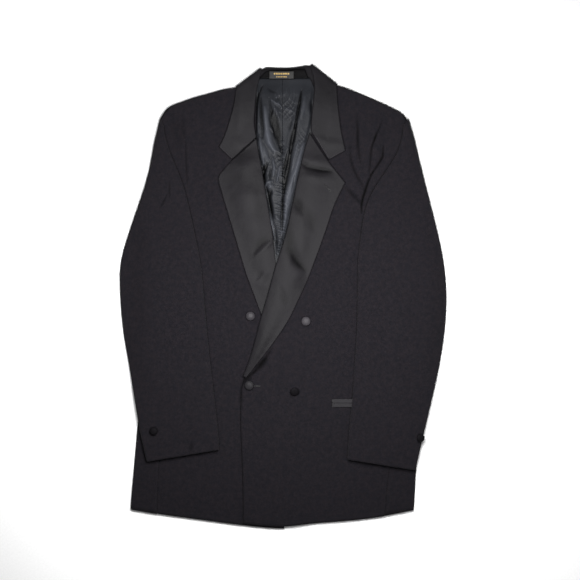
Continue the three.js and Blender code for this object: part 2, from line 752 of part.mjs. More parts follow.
function plate(corners, height, thickness, rowCount, columnCount) {
  const grid = steps(rowCount).map((t) => steps(columnCount).map((s) => {
    const upper = corners.upperLeft.clone().lerp(corners.upperRight, s);
    const lower = corners.lowerLeft.clone().lerp(corners.lowerRight, s);
    const point = upper.lerp(lower, t);
    return new THREE.Vector3(point.x, point.y, height(point.x, point.y));
  }));
  return wall(grid, thickness);
}

const point2 = (x, y) => new THREE.Vector2(x, y);

add('collar_stand', plate({
  upperLeft: point2(-29, 393),
  upperRight: point2(38, 396.5),
  lowerLeft: point2(-40, NECK_SEAM_Y + SEAM),
  lowerRight: point2(44, NECK_SEAM_Y + SEAM),
}, () => 2 * WOOL + 0.5, WOOL, 2, 6), 'satin');

add('neck_label', plate({
  upperLeft: point2(-24, 392.5),
  upperRight: point2(19, 392.5),
  lowerLeft: point2(-24, 379.5),
  lowerRight: point2(19, 379.5),
}, () => FALL_LIFT + WOOL + LINING + 2 * LAYER_GAP + 0.8, 0.8, 1, 3), 'label');

// Sleeves

const SLEEVE_ROWS = steps(24);
const UNDER_SLEEVE_FIRST = 8;

// A sleeve lies with its outer fold on the table and its inner part on the front.
// Above the arm its outer fold turns under to the back, and its inner edge sits on the front.
function sleeveFrame(side, t) {
  const table = side === 'left' ? SLEEVE_LEFT : SLEEVE_RIGHT;
  const ends = side === 'left'
    ? { outerTop: 302, outerEnd: -289, innerTop: 295, innerEnd: -268 }
    : { outerTop: 306, outerEnd: -304, innerTop: 298, innerEnd: -285 };
  const outerY = lerp(ends.outerTop, ends.outerEnd, t);
  const innerY = lerp(ends.innerTop, ends.innerEnd, t);
  const outer = new THREE.Vector3(read(table, 'outer', outerY), outerY, 0);
  const inner = new THREE.Vector3(read(table, 'inner', innerY), innerY, 0);
  const width = outer.distanceTo(inner);
  const across = inner.clone().sub(outer).normalize();
  const below = 1 - smoothstep(outerY, UNDERARM_Y, 150);
  const armhole = Math.abs(outer.x - read(BACK_ARMHOLE, side, outerY)) - ARMHOLE_GAP;
  const narrow = 1 - smoothstep(outerY, 0, UNDERARM_Y);
  return {
    outer,
    width,
    across,
    below,
    outerReturn: lerp(armhole, SLEEVE_RETURN, narrow),
    innerReturn: Math.min(INNER_RETURN, 0.4 * width),
    point: (u) => outer.clone().addScaledVector(across, u),
  };
}

function sleeveLow(point, below) {
  return sleeveGround(point.x, point.y) * below;
}

function topSleeve(side) {
  const rows = SLEEVE_ROWS;
  const depths = [];
  const grid = rows.map((t) => {
    const { outer, width, below, outerReturn, innerReturn, point } = sleeveFrame(side, t);
    const innerPoint = point(width);
    const innerSeat = sleeveGround(innerPoint.x, innerPoint.y);
    const innerTop = innerSeat + lerp(HEAD_EDGE, SLEEVE_HEIGHT, below);
    const innerRadius = (innerTop - innerSeat) / 2;
    const outerLow = sleeveLow(outer, below);
    const narrowing = smoothstep(width, 5, 45);
    const headTop = lerp(innerTop, HEAD_HEIGHT, narrowing);
    const outerTop = lerp(headTop, outerLow + SLEEVE_HEIGHT, below);
    const outerRadius = Math.min((outerTop - outerLow) / 2, 0.5 * width);
    const line = [];
    const depth = [];
    const put = (u, z, thick = SLEEVE_WOOL) => {
      line.push(point(u).setZ(z));
      depth.push(thick);
    };
    for (const f of [1, 0.5, 0]) {
      const u = lerp(outerRadius, outerReturn, f);
      put(u, sleeveLow(point(u), below));
    }
    for (const angle of [36, 72, 108, 144]) {
      const bend = degToRad(angle);
      const low = sleeveLow(point(outerRadius), below);
      put(outerRadius * (1 - Math.sin(bend)), (low + outerTop) / 2 - (outerTop - low) / 2 * Math.cos(bend));
    }
    const from = outerRadius;
    const to = Math.max(width - innerRadius, outerRadius + 1);
    for (const s of steps(7)) {
      const u = lerp(from, to, s);
      const place = point(u);
      const crown = Math.sin(Math.PI * s);
      const headZ = lerp(outerTop, innerTop, s) + 1.5 * crown * narrowing;
      const lowZ = lerp(sleeveGround(place.x, place.y) + SLEEVE_HEIGHT, lerp(outerTop, innerTop, s),
        1 - smoothstep(s, 0, 0.12) * (1 - smoothstep(s, 0.88, 1))) + 0.4 * crown;
      const z = lerp(headZ, lowZ, below);
      const clearOfFront = smoothstep(width - u, innerReturn + 4, innerReturn + 14);
      const fill = (z - HEAD_CAVITY_TOP - SLEEVE_WOOL) * clearOfFront * smoothstep(u, from, from + 8);
      put(u, z, SLEEVE_WOOL + Math.max(fill, 0) * (1 - smoothstep(below, 0, 0.6)));
    }
    for (const angle of [45, 90, 135]) {
      const bend = degToRad(angle);
      put(to + innerRadius * Math.sin(bend), innerSeat + innerRadius + innerRadius * Math.cos(bend));
    }
    for (const u of [to, width - Math.max(innerReturn, innerRadius + 0.5)]) {
      const place = point(u);
      put(u, lerp(innerSeat, sleeveGround(place.x, place.y), 0.5));
    }
    depths.push(depth);
    return line;
  });
  const turned = (list) => (side === 'left' ? list : list.map((line) => [...line].reverse()));
  const thickness = turned(depths);
  return wall(facingOut(grid, side), (i, j) => thickness[i][j]);
}

function underSleeve(side) {
  const grid = SLEEVE_ROWS.slice(UNDER_SLEEVE_FIRST).map((t) => {
    const { width, below, outerReturn, innerReturn, point } = sleeveFrame(side, t);
    const from = outerReturn + SEAM;
    const to = width - innerReturn - SEAM;
    return steps(5).map((s) => {
      const place = point(lerp(from, to, s));
      return place.setZ(sleeveLow(place, below) + SLEEVE_WOOL);
    });
  });
  return wall(facingOut(grid, side), SLEEVE_WOOL);
}

add('top_sleeve_right', topSleeve('left'), 'wool');
add('top_sleeve_left', topSleeve('right'), 'wool');
add('under_sleeve_right', underSleeve('left'), 'wool');
add('under_sleeve_left', underSleeve('right'), 'wool');

// Jetted pockets: two satin jets, one above the other

for (const { name, from, y } of POCKETS) {
  const jets = [
    { part: 'upper', centre: y + (JET_WIDTH + SEAM) / 2 },
    { part: 'lower', centre: y - (JET_WIDTH + SEAM) / 2 },
  ];
  for (const { part, centre } of jets) {
    const top = from < 0 ? frontTop : overTop;
    add(`pocket_${name}_${part}_jet`, plate({
      upperLeft: point2(from, centre + JET_WIDTH / 2),
      upperRight: point2(from + POCKET_LENGTH, centre + JET_WIDTH / 2),
      lowerLeft: point2(from, centre - JET_WIDTH / 2),
      lowerRight: point2(from + POCKET_LENGTH, centre - JET_WIDTH / 2),
    }, (x, z) => top(x, z) + LAYER_GAP + JET_THICKNESS, JET_THICKNESS, 1, 5), 'satin');
  }
}

// Covered buttons: a domed disc on a short shank

function button(diameter) {
  const radius = diameter / 2;
  const profile = [
    [0, 0],
    [BUTTON_SHANK, 0],
    [BUTTON_SHANK, BUTTON_SHANK_HEIGHT],
    [radius - 1.4, BUTTON_SHANK_HEIGHT],
    [radius, BUTTON_SHANK_HEIGHT + 1.3],
    [radius - 0.7, BUTTON_SHANK_HEIGHT + 2.6],
    [radius * 0.6, BUTTON_SHANK_HEIGHT + BUTTON_DOME_HEIGHT - 0.6],
    [0, BUTTON_SHANK_HEIGHT + BUTTON_DOME_HEIGHT],
  ];
  const geometry = new THREE.LatheGeometry(profile.map(([x, y]) => new THREE.Vector2(x, y)), 12);
  geometry.rotateX(Math.PI / 2);
  geometry.deleteAttribute('normal');
  geometry.deleteAttribute('uv');
  return mergeVertices(geometry);
}

for (const { name, x, y, front: which, tilt } of FRONT_BUTTONS) {
  const top = which === 'under' ? frontTop : overTop;
  const mesh = add(name, button(BUTTON_DIAMETER), 'button');
  mesh.rotation.set(degToRad(tilt), degToRad(tilt / 2), 0);
  mesh.position.set(x, y, top(x, y) + SEAM + BUTTON_SHANK * Math.sin(degToRad(tilt * 1.2)));
}

// One button shows on each sleeve: on its top, or on its outer fold where it is turned outwards.
for (const { name, x, y, turn } of SLEEVE_BUTTONS) {
  const mesh = add(name, button(SLEEVE_BUTTON_DIAMETER), 'button');
  const radius = SLEEVE_HEIGHT / 2 + SEAM + 0.5;
  const angle = degToRad(turn);
  mesh.rotation.y = angle;
  mesh.position.set(x + radius * Math.sin(angle), y,
    sleeveGround(x, y) + SLEEVE_HEIGHT / 2 + radius * Math.cos(angle));
}

// The origin is below the middle of the jacket's box, on the table

const box = new THREE.Box3().setFromObject(jacket);
const middle = box.getCenter(new THREE.Vector3());
jacket.position.set(-middle.x, -middle.y, -box.min.z);

export default jacket;
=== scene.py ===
import math

import bmesh
import bpy
import numpy as np
from mathutils import Matrix, Vector


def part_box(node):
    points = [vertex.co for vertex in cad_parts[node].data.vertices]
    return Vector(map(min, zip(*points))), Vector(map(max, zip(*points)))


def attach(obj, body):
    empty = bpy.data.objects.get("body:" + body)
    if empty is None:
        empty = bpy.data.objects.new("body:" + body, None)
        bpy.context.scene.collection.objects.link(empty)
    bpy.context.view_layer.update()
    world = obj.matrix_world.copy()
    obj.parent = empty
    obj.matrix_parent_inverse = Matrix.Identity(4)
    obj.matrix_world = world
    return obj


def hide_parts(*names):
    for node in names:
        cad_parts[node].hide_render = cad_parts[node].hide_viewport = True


bl_info = {
    "name": "Double-breasted dinner jacket",
    "version": (1, 0, 0),
    "blender": (4, 5, 0),
    "location": "3D View > Sidebar > Dinner Jacket",
    "description": "Dresses the cut panels of a dinner jacket that is laid flat, its sleeves over its fronts",
    "category": "Object",
}

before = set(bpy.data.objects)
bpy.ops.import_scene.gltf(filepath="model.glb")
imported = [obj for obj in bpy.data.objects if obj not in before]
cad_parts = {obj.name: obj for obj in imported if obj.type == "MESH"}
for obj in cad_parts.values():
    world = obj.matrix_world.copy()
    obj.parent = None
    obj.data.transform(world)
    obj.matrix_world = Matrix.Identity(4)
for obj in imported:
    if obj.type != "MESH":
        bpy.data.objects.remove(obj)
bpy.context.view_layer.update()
MM = 0.001

# Creases. Each row is one crease: the points that it runs through and its width and depth, all in
# millimetres from the middle of the jacket. A depth above 0 is a ridge, and below 0 a trough. A
# lean adds a hollow beside a ridge, on the left of its direction above 0 and on its right below 0.

FRONT_CREASES = (
    {"line": ((175.2, 262.7), (174.2, 243.4), (167.9, 232.9), (160, 220.7), (152.5, 211.1)),
     "width": 1.76, "depth": -2.8},
    {"line": ((157.4, 217.2), (149.3, 201.4), (144.1, 185.7), (139.5, 171.7), (136.9, 157.7),
              (137.4, 145.4)),
     "width": 1.84, "depth": -3.4},
    {"line": ((185.4, 255.7), (176.6, 227.7), (164.4, 210.2), (153.9, 189.2), (146.9, 169.9)),
     "width": 7, "depth": 0.8},
    {"line": ((172.2, 304.7), (166.1, 288.9), (160.5, 275.8), (154.9, 260.9), (153, 241.7),
              (151.1, 220.7), (152.1, 210.2)),
     "width": 1.44, "depth": -2.2},
    {"line": ((163, 285.4), (158.8, 269.7)), "width": 1.6, "depth": -1},
    {"line": ((165.2, 271.4), (162.6, 250.4), (160.9, 232.9)), "width": 5, "depth": 0.55},
    {"line": ((145.1, 290.7), (143.4, 262.7), (144.1, 231.2)), "width": 6, "depth": 0.6},
    {"line": ((128.7, 315.2), (130.4, 290.7), (130.4, 264.4), (132.9, 246.9), (136.4, 231.2)),
     "width": 2, "depth": -2},
    {"line": ((116.6, 255.7), (118.2, 238.2), (122.7, 224.2), (130.1, 207.6), (136.4, 197.9), (142, 185.7)),
     "width": 1.92, "depth": -1.8},
    {"line": ((110.1, 190.1), (118.9, 180.4), (127.6, 171.7),
              (136.4, 162.1)), "width": 2.72, "depth": -1.7},
    {"line": ((108.4, 227.7), (117.1, 206.7), (129.4, 187.4)), "width": 7, "depth": 0.5},
    {"line": ((113.6, 261.8), (118, 258.3)), "width": 1.6, "depth": -1.4},
    {"line": ((-169.5, 271.4), (-169.9, 246.9), (-168.8, 220.7), (-167.4, 192.7)),
     "width": 1.6, "depth": -1.32},
    {"line": ((-162, 276.7), (-162, 245.2), (-160.3, 210.2)), "width": 7, "depth": 0.5},
    {"line": ((-189.1, 309.9), (-183.9, 287.2), (-178.6, 262.7)), "width": 13, "depth": -0.39},
    {"line": ((-175.1, 320.4), (-174.3, 294.2), (-172.5, 269.7)), "width": 2.8, "depth": -0.54},
    {"line": ((-19.4, -90.8), (-29.9, -107.4), (-41.3, -120.6)), "width": 1.92, "depth": -2.4},
    {"line": ((-29.9, -110.1), (-39.5, -120.6), (-50.9, -131.9)), "width": 5, "depth": -2.6},
    {"line": ((-47.4, -130.2), (-57.9, -138.1), (-65.8, -146.8), (-70.8, -155.6)),
     "width": 2.4, "depth": -2.8},
    {"line": ((-54.4, -141.6), (-61.4, -149.4)), "width": 1.76, "depth": -1.4},
    {"line": ((-26.4, -122.3), (-40.4, -134.6), (-52.6, -143.3)), "width": 4.5, "depth": 0.5},
    {"line": ((-74, -153.8), (-74.3, -174.8), (-73.6, -199.3)), "width": 1.6, "depth": -1.4},
    {"line": ((-150, 318), (-128, 296), (-108, 290)), "width": 12, "depth": 0.35, "lean": 0.4},
    {"line": ((-168, 190), (-158, 168), (-150, 130)), "width": 10, "depth": 0.4, "lean": 0.5},
    {"line": ((84, 158), (104, 149), (132, 143)), "width": 12, "depth": 0.3, "lean": 0.5},
    {"line": ((-66, -190), (-61, -225), (-64, -280)), "width": 14, "depth": 0.35, "lean": 0.4},
    {"line": ((30, -84), (58, -110), (76, -150)), "width": 16, "depth": 0.35, "lean": 0.4},
    {"line": ((-20, -205), (14, -232), (62, -246)), "width": 18, "depth": 0.3, "lean": 0.4},
    {"line": ((40, -300), (92, -312), (150, -334)), "width": 20, "depth": 0.35, "lean": 0.4},
    {"line": ((-208, -330), (-160, -342), (-104, -338)), "width": 18, "depth": 0.4, "lean": -0.4},
    {"line": ((-110, -292), (-96, -330), (-100, -372)), "width": 15, "depth": 0.3, "lean": 0.4},
    {"line": ((122, -350), (130, -368), (134, -390)), "width": 10, "depth": 0.35, "lean": 0.3},
    {"line": ((-110, 60), (-120, 20), (-118, -30)), "width": 18, "depth": 0.3, "lean": 0.4},
    {"line": ((88, 60), (98, 10), (92, -50)), "width": 20, "depth": 0.3, "lean": 0.4},
    {"line": ((-196, 330), (-150, 322), (-112, 330)), "width": 12, "depth": 0.35, "lean": 0.4},
)

SLEEVE_CREASES = (
    {"line": ((-198.6, 199.7), (-198.2, 171.7)), "width": 1.52, "depth": -1.2},
    {"line": ((-190.9, 203.2), (-190.9, 173.4)), "width": 4.5, "depth": 0.6},
    {"line": ((-201.4, 178.7), (-209.4, 162.9), (-216.1, 151.6)), "width": 1.6, "depth": -1.2},
    {"line": ((-205.6, 185.7), (-213.6, 169.9)), "width": 5, "depth": 0.55},
    {"line": ((-240, 176), (-224, 130), (-226, 92)), "width": 12, "depth": 0.35, "lean": 0.4},
    {"line": ((-268, 80), (-236, 68), (-196, 74)), "width": 17, "depth": 0.4, "lean": 0.5},
    {"line": ((-152, 66), (-190, 40), (-240, 36)), "width": 18, "depth": 0.35, "lean": -0.5},
    {"line": ((-148, 0), (-182, -14), (-232, -8)), "width": 20, "depth": 0.3, "lean": 0.4},
    {"line": ((-262, -60), (-226, -74), (-170, -70)), "width": 20, "depth": 0.3, "lean": -0.4},
    {"line": ((-134, -110), (-160, -140), (-210, -152)), "width": 18, "depth": 0.3, "lean": 0.4},
    {"line": ((-161, -254), (-160, -263), (-162, -273)), "width": 2.8, "depth": -1.2},
    {"line": ((-153, -250), (-152, -262), (-154, -272)), "width": 5, "depth": 0.35},
    {"line": ((-246, -200), (-214, -206), (-170, -198)), "width": 14, "depth": 0.25, "lean": 0.4},
    {"line": ((196, 250), (172, 212), (146, 176)), "width": 6, "depth": 0.6, "lean": 0.6},
    {"line": ((226, 240), (206, 204), (176, 168)), "width": 13, "depth": 0.45, "lean": 0.6},
    {"line": ((152, 158), (176, 152), (204, 164)), "width": 8, "depth": 0.5, "lean": -0.6},
    {"line": ((143, 148), (168, 130), (206, 128)), "width": 10, "depth": 0.45, "lean": 0.5},
    {"line": ((262, 128), (226, 112), (186, 116)), "width": 15, "depth": 0.4, "lean": -0.5},
    {"line": ((138, 84), (170, 62), (214, 60)), "width": 16, "depth": 0.4, "lean": 0.5},
    {"line": ((276, 44), (240, 30), (200, 36)), "width": 18, "depth": 0.35, "lean": 0.4},
    {"line": ((134, 10), (166, -8), (222, -4)), "width": 20, "depth": 0.3, "lean": -0.4},
    {"line": ((262, -70), (226, -92), (176, -88)), "width": 19, "depth": 0.3, "lean": 0.4},
    {"line": ((128, -140), (156, -160), (202, -164)), "width": 17, "depth": 0.3, "lean": 0.4},
    {"line": ((236, -214), (200, -226), (160, -220)), "width": 15, "depth": 0.3, "lean": -0.4},
    {"line": ((116, -250), (150, -262), (196, -274)), "width": 12, "depth": 0.25, "lean": 0.4},
)

LAPEL_CREASES = (
    {"line": ((31.4, 233.8), (43.6, 225.4), (62.9, 219.6), (84.7, 217.9)), "width": 4.6, "depth": -2.3},
    {"line": ((57.6, 221.4), (84.7, 219.3)), "width": 3, "depth": -1.2},
    {"line": ((29.6, 243.4), (50.6, 237.3), (75.1, 234.7)), "width": 8, "depth": 0.9},
    {"line": ((36.6, 210.2), (61.1, 206.7), (85.6, 203.2)), "width": 8, "depth": 0.9},
    {"line": ((17.4, 171.7), (25.4, 160.3), (34.2, 145.4)), "width": 6.5, "depth": -2},
    {"line": ((41.9, 154.2), (48.9, 136.7), (53.4, 115.7)), "width": 7.5, "depth": -1.1},
    {"line": ((27.9, 143.7), (31.4, 115.7), (33.1, 84.2)), "width": 9, "depth": 1},
    {"line": ((5.8, 147.2), (7.6, 115.7), (11.1, 84.2), (22.6, 61.4), (37.7, 45.7)),
     "width": 8, "depth": -1.9},
    {"line": ((17.4, 68.4), (28.9, 54.4), (40.1, 45.7)), "width": 4, "depth": -1.2},
    {"line": ((22.6, 45.7), (34.9, 33.4)), "width": 8, "depth": 0.9},
    {"line": ((-4.3, 14.2), (0.7, 0.2), (6.2, -15.6)), "width": 5, "depth": -1},
    {"line": ((-26.4, 103.4), (-37.9, 92.2), (-49.1, 78.2)), "width": 7, "depth": -1.7},
    {"line": ((-47.4, 70.9), (-33.4, 84.2), (-19.4, 95.4)), "width": 4.5, "depth": 1.3},
    {"line": ((-36.9, 42.2), (-47.4, 29.9)), "width": 4, "depth": -0.9},
    {"line": ((-22.9, 38.7), (-36.9, 22.9)), "width": 4, "depth": -0.8},
    {"line": ((-89.4, 238.2), (-68.4, 252.2), (-50.9, 259.2)), "width": 12, "depth": -0.9},
    {"line": ((-42.1, 194.4), (-40.4, 150.7), (-38.6, 112.2)), "width": 9, "depth": -0.7},
    {"line": ((-64.9, 185.7), (-70.1, 147.2)), "width": 13, "depth": 0.5},
    {"line": ((-84, 186), (-66, 176), (-42, 178)), "width": 14, "depth": 1, "lean": 0.4},
    {"line": ((-92, 232), (-70, 226), (-44, 236)), "width": 12, "depth": 1, "lean": -0.4},
    {"line": ((-84, 140), (-64, 128), (-40, 128)), "width": 12, "depth": 0.8, "lean": 0.4},
    {"line": ((-66, 44), (-50, 30), (-30, 20)), "width": 9, "depth": 0.8, "lean": 0.4},
    {"line": ((-74, 348), (-72, 322), (-76, 292)), "width": 8, "depth": 0.9, "lean": 0.4},
    {"line": ((-92, 272), (-78, 262), (-62, 262)), "width": 8, "depth": 0.8, "lean": -0.4},
    {"line": ((82, 350), (80, 316), (78, 284)), "width": 9, "depth": 0.9, "lean": -0.4},
    {"line": ((64, 276), (80, 268), (100, 266)), "width": 7, "depth": 0.7, "lean": 0.4},
)

LINING_CREASES = (
    {"line": ((-36, 365.9), (-42.7, 351.9), (-46.3, 336.2), (-47.4, 316.9), (-48.4, 294.2),
              (-48.8, 281.9), (-45.6, 273.2)),
     "width": 2.6, "depth": -4.5},
    {"line": ((-43, 260.9), (-40.4, 241.7), (-36.9, 227.7)), "width": 1.6, "depth": -1.8},
    {"line": ((-39.5, 346.7), (-39, 330.9), (-37.2, 311.7), (-35.1, 290.7), (-36.2, 276.7)),
     "width": 2.6, "depth": -3.2},
    {"line": ((-26.4, 362.4), (-19.4, 357.2), (-12.4, 355.4)), "width": 2, "depth": -1.5},
    {"line": ((-24.1, 344.9), (-22, 332.7), (-20.8, 322.2), (-22.9, 309.9), (-21.1, 297.7)),
     "width": 2, "depth": -2.2},
    {"line": ((-17.6, 322.2), (-14.1, 304.7), (-9.8, 285.4), (-6.3, 260.9)), "width": 5.5, "depth": -4},
    {"line": ((-19.4, 311.7), (-17.6, 294.2), (-13.3, 276.7)), "width": 3, "depth": -2},
    {"line": ((-5.4, 262.7), (-3.6, 255.7), (-2.8, 248.7)), "width": 2, "depth": -2.5},
    {"line": ((-12.4, 250.4), (-2.8, 243.4)), "width": 2.2, "depth": -1.8},
    {"line": ((-8.9, 239.4), (-1.9, 237.7)), "width": 1.5, "depth": -2},
    {"line": ((-10.6, 341.4), (-2.8, 347.6)), "width": 3.5, "depth": -1},
    {"line": ((32.2, 358.9), (29.3, 339.7), (26.1, 322.2), (23.5, 308.2), (20.9, 294.2)),
     "width": 2.4, "depth": -4.2},
    {"line": ((22.6, 301.2), (19.1, 283.7), (15.3, 267.9), (12.8, 252.2)), "width": 3.8, "depth": -4.8},
    {"line": ((13.2, 255.7), (9.3, 234.7), (6.2, 217.2), (3.4, 199.7), (1.3, 182.2)),
     "width": 4.2, "depth": -5},
    {"line": ((2, 189.2), (-0.5, 168.2), (-1.4, 143.7), (-2.2, 115.7)), "width": 2.4, "depth": -3.6},
    {"line": ((8.6, 253.9), (4.8, 238.2), (0.7, 224.2), (-1.4, 210.2)), "width": 1.4, "depth": -2},
    {"line": ((13.9, 306.4), (12.1, 297.7), (10.4, 290.7)), "width": 2.2, "depth": -1.4},
    {"line": ((-32, 230.3), (-34.8, 224.2), (-37.2, 218.1)), "width": 1.5, "depth": -3.5},
    {"line": ((-27.1, 232.1), (-31.1, 222.4), (-34.4, 210.2), (-32.3, 196.2)), "width": 2.4, "depth": -4.5},
    {"line": ((-20.8, 222.4), (-22.9, 213.7), (-22.4, 203.2)), "width": 1.8, "depth": -2.2},
    {"line": ((-29, 188.3), (-24.6, 178.7), (-23.2, 166.4), (-20.6, 152.4), (-17.6, 136.7)),
     "width": 3, "depth": -4},
    {"line": ((-21.1, 185.7), (-22, 175.2)), "width": 2.5, "depth": -2.5},
    {"line": ((20.2, 211.9), (18.1, 196.2), (14.9, 182.2)), "width": 1.3, "depth": -1.4},
    {"line": ((-14.1, 122.7), (-11.5, 98.2), (-9.8, 77.2)), "width": 1.8, "depth": -1.8},
    {"line": ((48.5, 343.2), (48.9, 320.4)), "width": 3, "depth": -2.2},
    {"line": ((-41.4, 360.7), (-44.6, 336.2), (-44.6, 318.7), (-44.9, 297.7), (-42.5, 283.7)),
     "width": 2, "depth": 1.3},
    {"line": ((-32, 329.2), (-30.9, 308.2), (-28.1, 287.2), (-24.6, 269.7), (-17.6, 257.4), (-11.5, 250.4)),
     "width": 4.5, "depth": 2.4},
    {"line": ((-28.1, 283.7), (-23.8, 266.2), (-18.5, 255.7)), "width": 3, "depth": 1.2},
    {"line": ((-41.1, 274.9), (-39.7, 259.2), (-36.9, 241.7), (-33.4, 229.4)), "width": 3.4, "depth": 2.4},
    {"line": ((-33.4, 262.7), (-29.9, 246.9), (-25.5, 232.9)), "width": 3, "depth": 1.2},
    {"line": ((-23.2, 344.1), (-14.1, 337.9), (-7.1, 334.4), (-2.2, 329.5)), "width": 1.8, "depth": 1.8},
    {"line": ((1.6, 329.2), (10.4, 325.2), (18.2, 321.3)), "width": 1.8, "depth": 1},
    {"line": ((-22.9, 294.2), (-20.1, 292.1), (-16.9, 285.4)), "width": 1.5, "depth": 1.4},
    {"line": ((-12.4, 346.3), (-6.4, 351.2)), "width": 1.5, "depth": 1},
    {"line": ((-18.3, 241.7), (-15.2, 222.4), (-18, 208.4)), "width": 2, "depth": 1.8},
    {"line": ((-6.1, 225.9), (-8.9, 210.2), (-11.5, 197.9)), "width": 2, "depth": 1.3},
    {"line": ((-31.3, 192), (-29.2, 196.9), (-24.6, 199.7), (-18.7, 200.7)), "width": 1.8, "depth": 2.4},
    {"line": ((-26.4, 191.8), (-18.5, 192.7)), "width": 4, "depth": 1.4},
    {"line": ((-31.6, 185.7), (-31.3, 173.4), (-29.2, 159.4), (-25, 145.4), (-19.4, 122.7), (-14.1, 98.2)),
     "width": 2, "depth": 2.2},
    {"line": ((35.6, 264.4), (28.6, 238.2), (23.3, 220.7), (18.1, 204.9), (13.2, 187.4), (9, 171.7),
              (5.5, 155.9), (2, 134.9), (-1.2, 108.7)),
     "width": 5.5, "depth": 2.7},
    {"line": ((26.8, 269.7), (23.3, 255.7), (18.1, 238.2), (13.5, 217.2)), "width": 2.6, "depth": 1.4},
    {"line": ((37.7, 350.2), (35.9, 329.2), (32.4, 311.7)), "width": 3, "depth": 0.8},
    {"line": ((-15.9, 332.7), (-10.6, 318.7), (-6.1, 306.4)), "width": 2, "depth": 0.8},
)

# Slow undulation of all the cloth, and how far above the start of its creases a trough ends, in
# millimetres
WAVE_HEIGHT = 0.35
LEAST_HEIGHT = 0.1

# How far the lining billows in the opening, in millimetres
LINING_BILLOW = 2.3

# How far from another piece's edge the painted shade of a crack reaches, in metres
CRACK_REACH = 0.0055

# The tops of the sleeve heads, drawn up to the shoulders: the corner, the rise and the move towards
# the viewer's right, in millimetres
SLEEVE_HEADS = {
    "top_sleeve_right": {"corner": (-216.5, 302), "rise": 7.5, "right": 1.4},
    "top_sleeve_left": {"corner": (219.5, 305), "rise": 3.6, "right": -0.6},
}

# Where the fronts' rolled edges bound the opening: height, left and right, in millimetres
ROLLED_EDGES = (
    (57, -12, -12), (107, -17.5, 4), (150, -24.5, 14), (190, -31.5, 22), (225, -37, 30), (255, -43, 37),
    (288, -47.5, 47), (308, -49, 51), (331, -48, 52), (385, -44, 55.5),
)

# Gathers of the lining: short uneven puckers on both sides of the pleat.
GATHER_TOP = 290
GATHER_BOTTOM = 70
GATHER_STEP = 5.6

# The kinds of cloth piece: how finely each is divided, how high above the table in millimetres its
# creases begin to show, how much of a trough's depth it has room for, and the rise in millimetres
# at which a fold shows its full painted shade. The backs lie flat, so their creases begin above them.
CLOTH_KINDS = {
    "back": {"divide": 2, "from": 90, "sink": 1, "full": 3},
    "side": {"divide": 2, "from": 2.5, "sink": 1, "full": 3},
    "front": {"divide": 3, "from": 2.5, "sink": 1, "full": 3},
    "under sleeve": {"divide": 2, "from": 3, "sink": 1, "full": 3},
    "top sleeve": {"divide": 3, "from": 3, "sink": 1, "full": 3},
    "lapel": {"divide": 3, "from": 4, "sink": 0.7, "full": 2.2},
    "collar": {"divide": 3, "from": 6, "sink": 0.7, "full": 2.2},
    "lining": {"divide": 3, "from": 2, "sink": 0.55, "full": 3},
}

# The cloth pieces: the cut panel each one dresses, its kind, its flat cut as width and length in
# metres and what it lies on.
CLOTHS = {
    "back_right": {"kind": "back", "cut": (0.242, 0.79), "on": ()},
    "back_left": {"kind": "back", "cut": (0.258, 0.79), "on": ()},
    "side_panel_right": {"kind": "side", "cut": (0.104, 0.48), "on": ()},
    "side_panel_left": {"kind": "side", "cut": (0.104, 0.48), "on": ()},
    "front_right": {"kind": "front", "cut": (0.262, 0.806), "on": ("back_right",)},
    "front_left": {"kind": "front", "cut": (0.296, 0.806), "on": ("front_right",)},
    "under_sleeve_right": {"kind": "under sleeve", "cut": (0.15, 0.4), "on": ("front_right",)},
    "under_sleeve_left": {"kind": "under sleeve", "cut": (0.15, 0.41), "on": ("front_left",)},
    "top_sleeve_right": {"kind": "top sleeve", "cut": (0.21, 0.6), "on": ("front_right",)},
    "top_sleeve_left": {"kind": "top sleeve", "cut": (0.215, 0.62), "on": ("front_left",)},
    "lapel_right": {"kind": "lapel", "cut": (0.118, 0.345), "on": ("front_right",)},
    "lapel_left": {"kind": "lapel", "cut": (0.125, 0.44), "on": ("front_left",)},
    "collar": {"kind": "collar", "cut": (0.4, 0.09), "on": ("front_right", "front_left")},
    "back_lining_right": {"kind": "lining", "cut": (0.061, 0.346), "on": ("back_right",)},
    "back_lining_left": {"kind": "lining", "cut": (0.064, 0.346), "on": ("back_left",)},
}

# The buttons: the cut button that each one stands for and its finish
# The darker finishes are copies of the button satin in painted shade, for buttons that tilt away from the
# light
BUTTONS = {
    "front_button_upper_right_side": "button satin",
    "front_button_upper_left_side": "button satin",
    "front_button_lower_right_side": "button satin in half shade",
    "front_button_lower_left_side": "button satin in shade",
    "sleeve_button_right": "button satin in shade",
    "sleeve_button_left": "button satin in shade",
}

JETS = (
    "pocket_left_upper_jet",
    "pocket_left_lower_jet",
    "pocket_right_upper_jet",
    "pocket_right_lower_jet",
)


def hex_colour(name, what, value):
    return bpy.props.StringProperty(
        name=name, description=f"Colour of {what}, as an sRGB hex value", default=value)


class ClothLooks(bpy.types.PropertyGroup):
    """Colours and threads of the jacket's cloths."""

    wool: hex_colour("Wool", "the barathea", "#141215")
    satin: hex_colour("Satin", "the facings", "#161517")
    lining: hex_colour("Lining", "the lining", "#1C1D20")
    label: hex_colour("Label", "the bare label", "#0E0D0C")
    gold: hex_colour("Label thread", "the woven lozenges", "#A88B4E")
    # The button colour is the satin painted paler, a painted highlight for the light the upper buttons
    # reflect; the two darker copies are painted shade for buttons that tilt away, and the half shaded one
    # colours the jets too
    button: hex_colour("Button", "the buttons' satin", "#2D2B2E")
    half_shade_button_and_jets: hex_colour("Button in half shade", "the button in half painted shade and the jets", "#201F21")
    shaded_button: hex_colour("Button in shade", "the buttons in painted shade", "#0C0B0D")
    thread_step: bpy.props.FloatProperty(
        name="Thread spacing", description="Spacing of the wool's threads, drawn as coarse as shows",
        default=0.0011, min=0.0003, max=0.004, subtype="DISTANCE", unit="LENGTH")


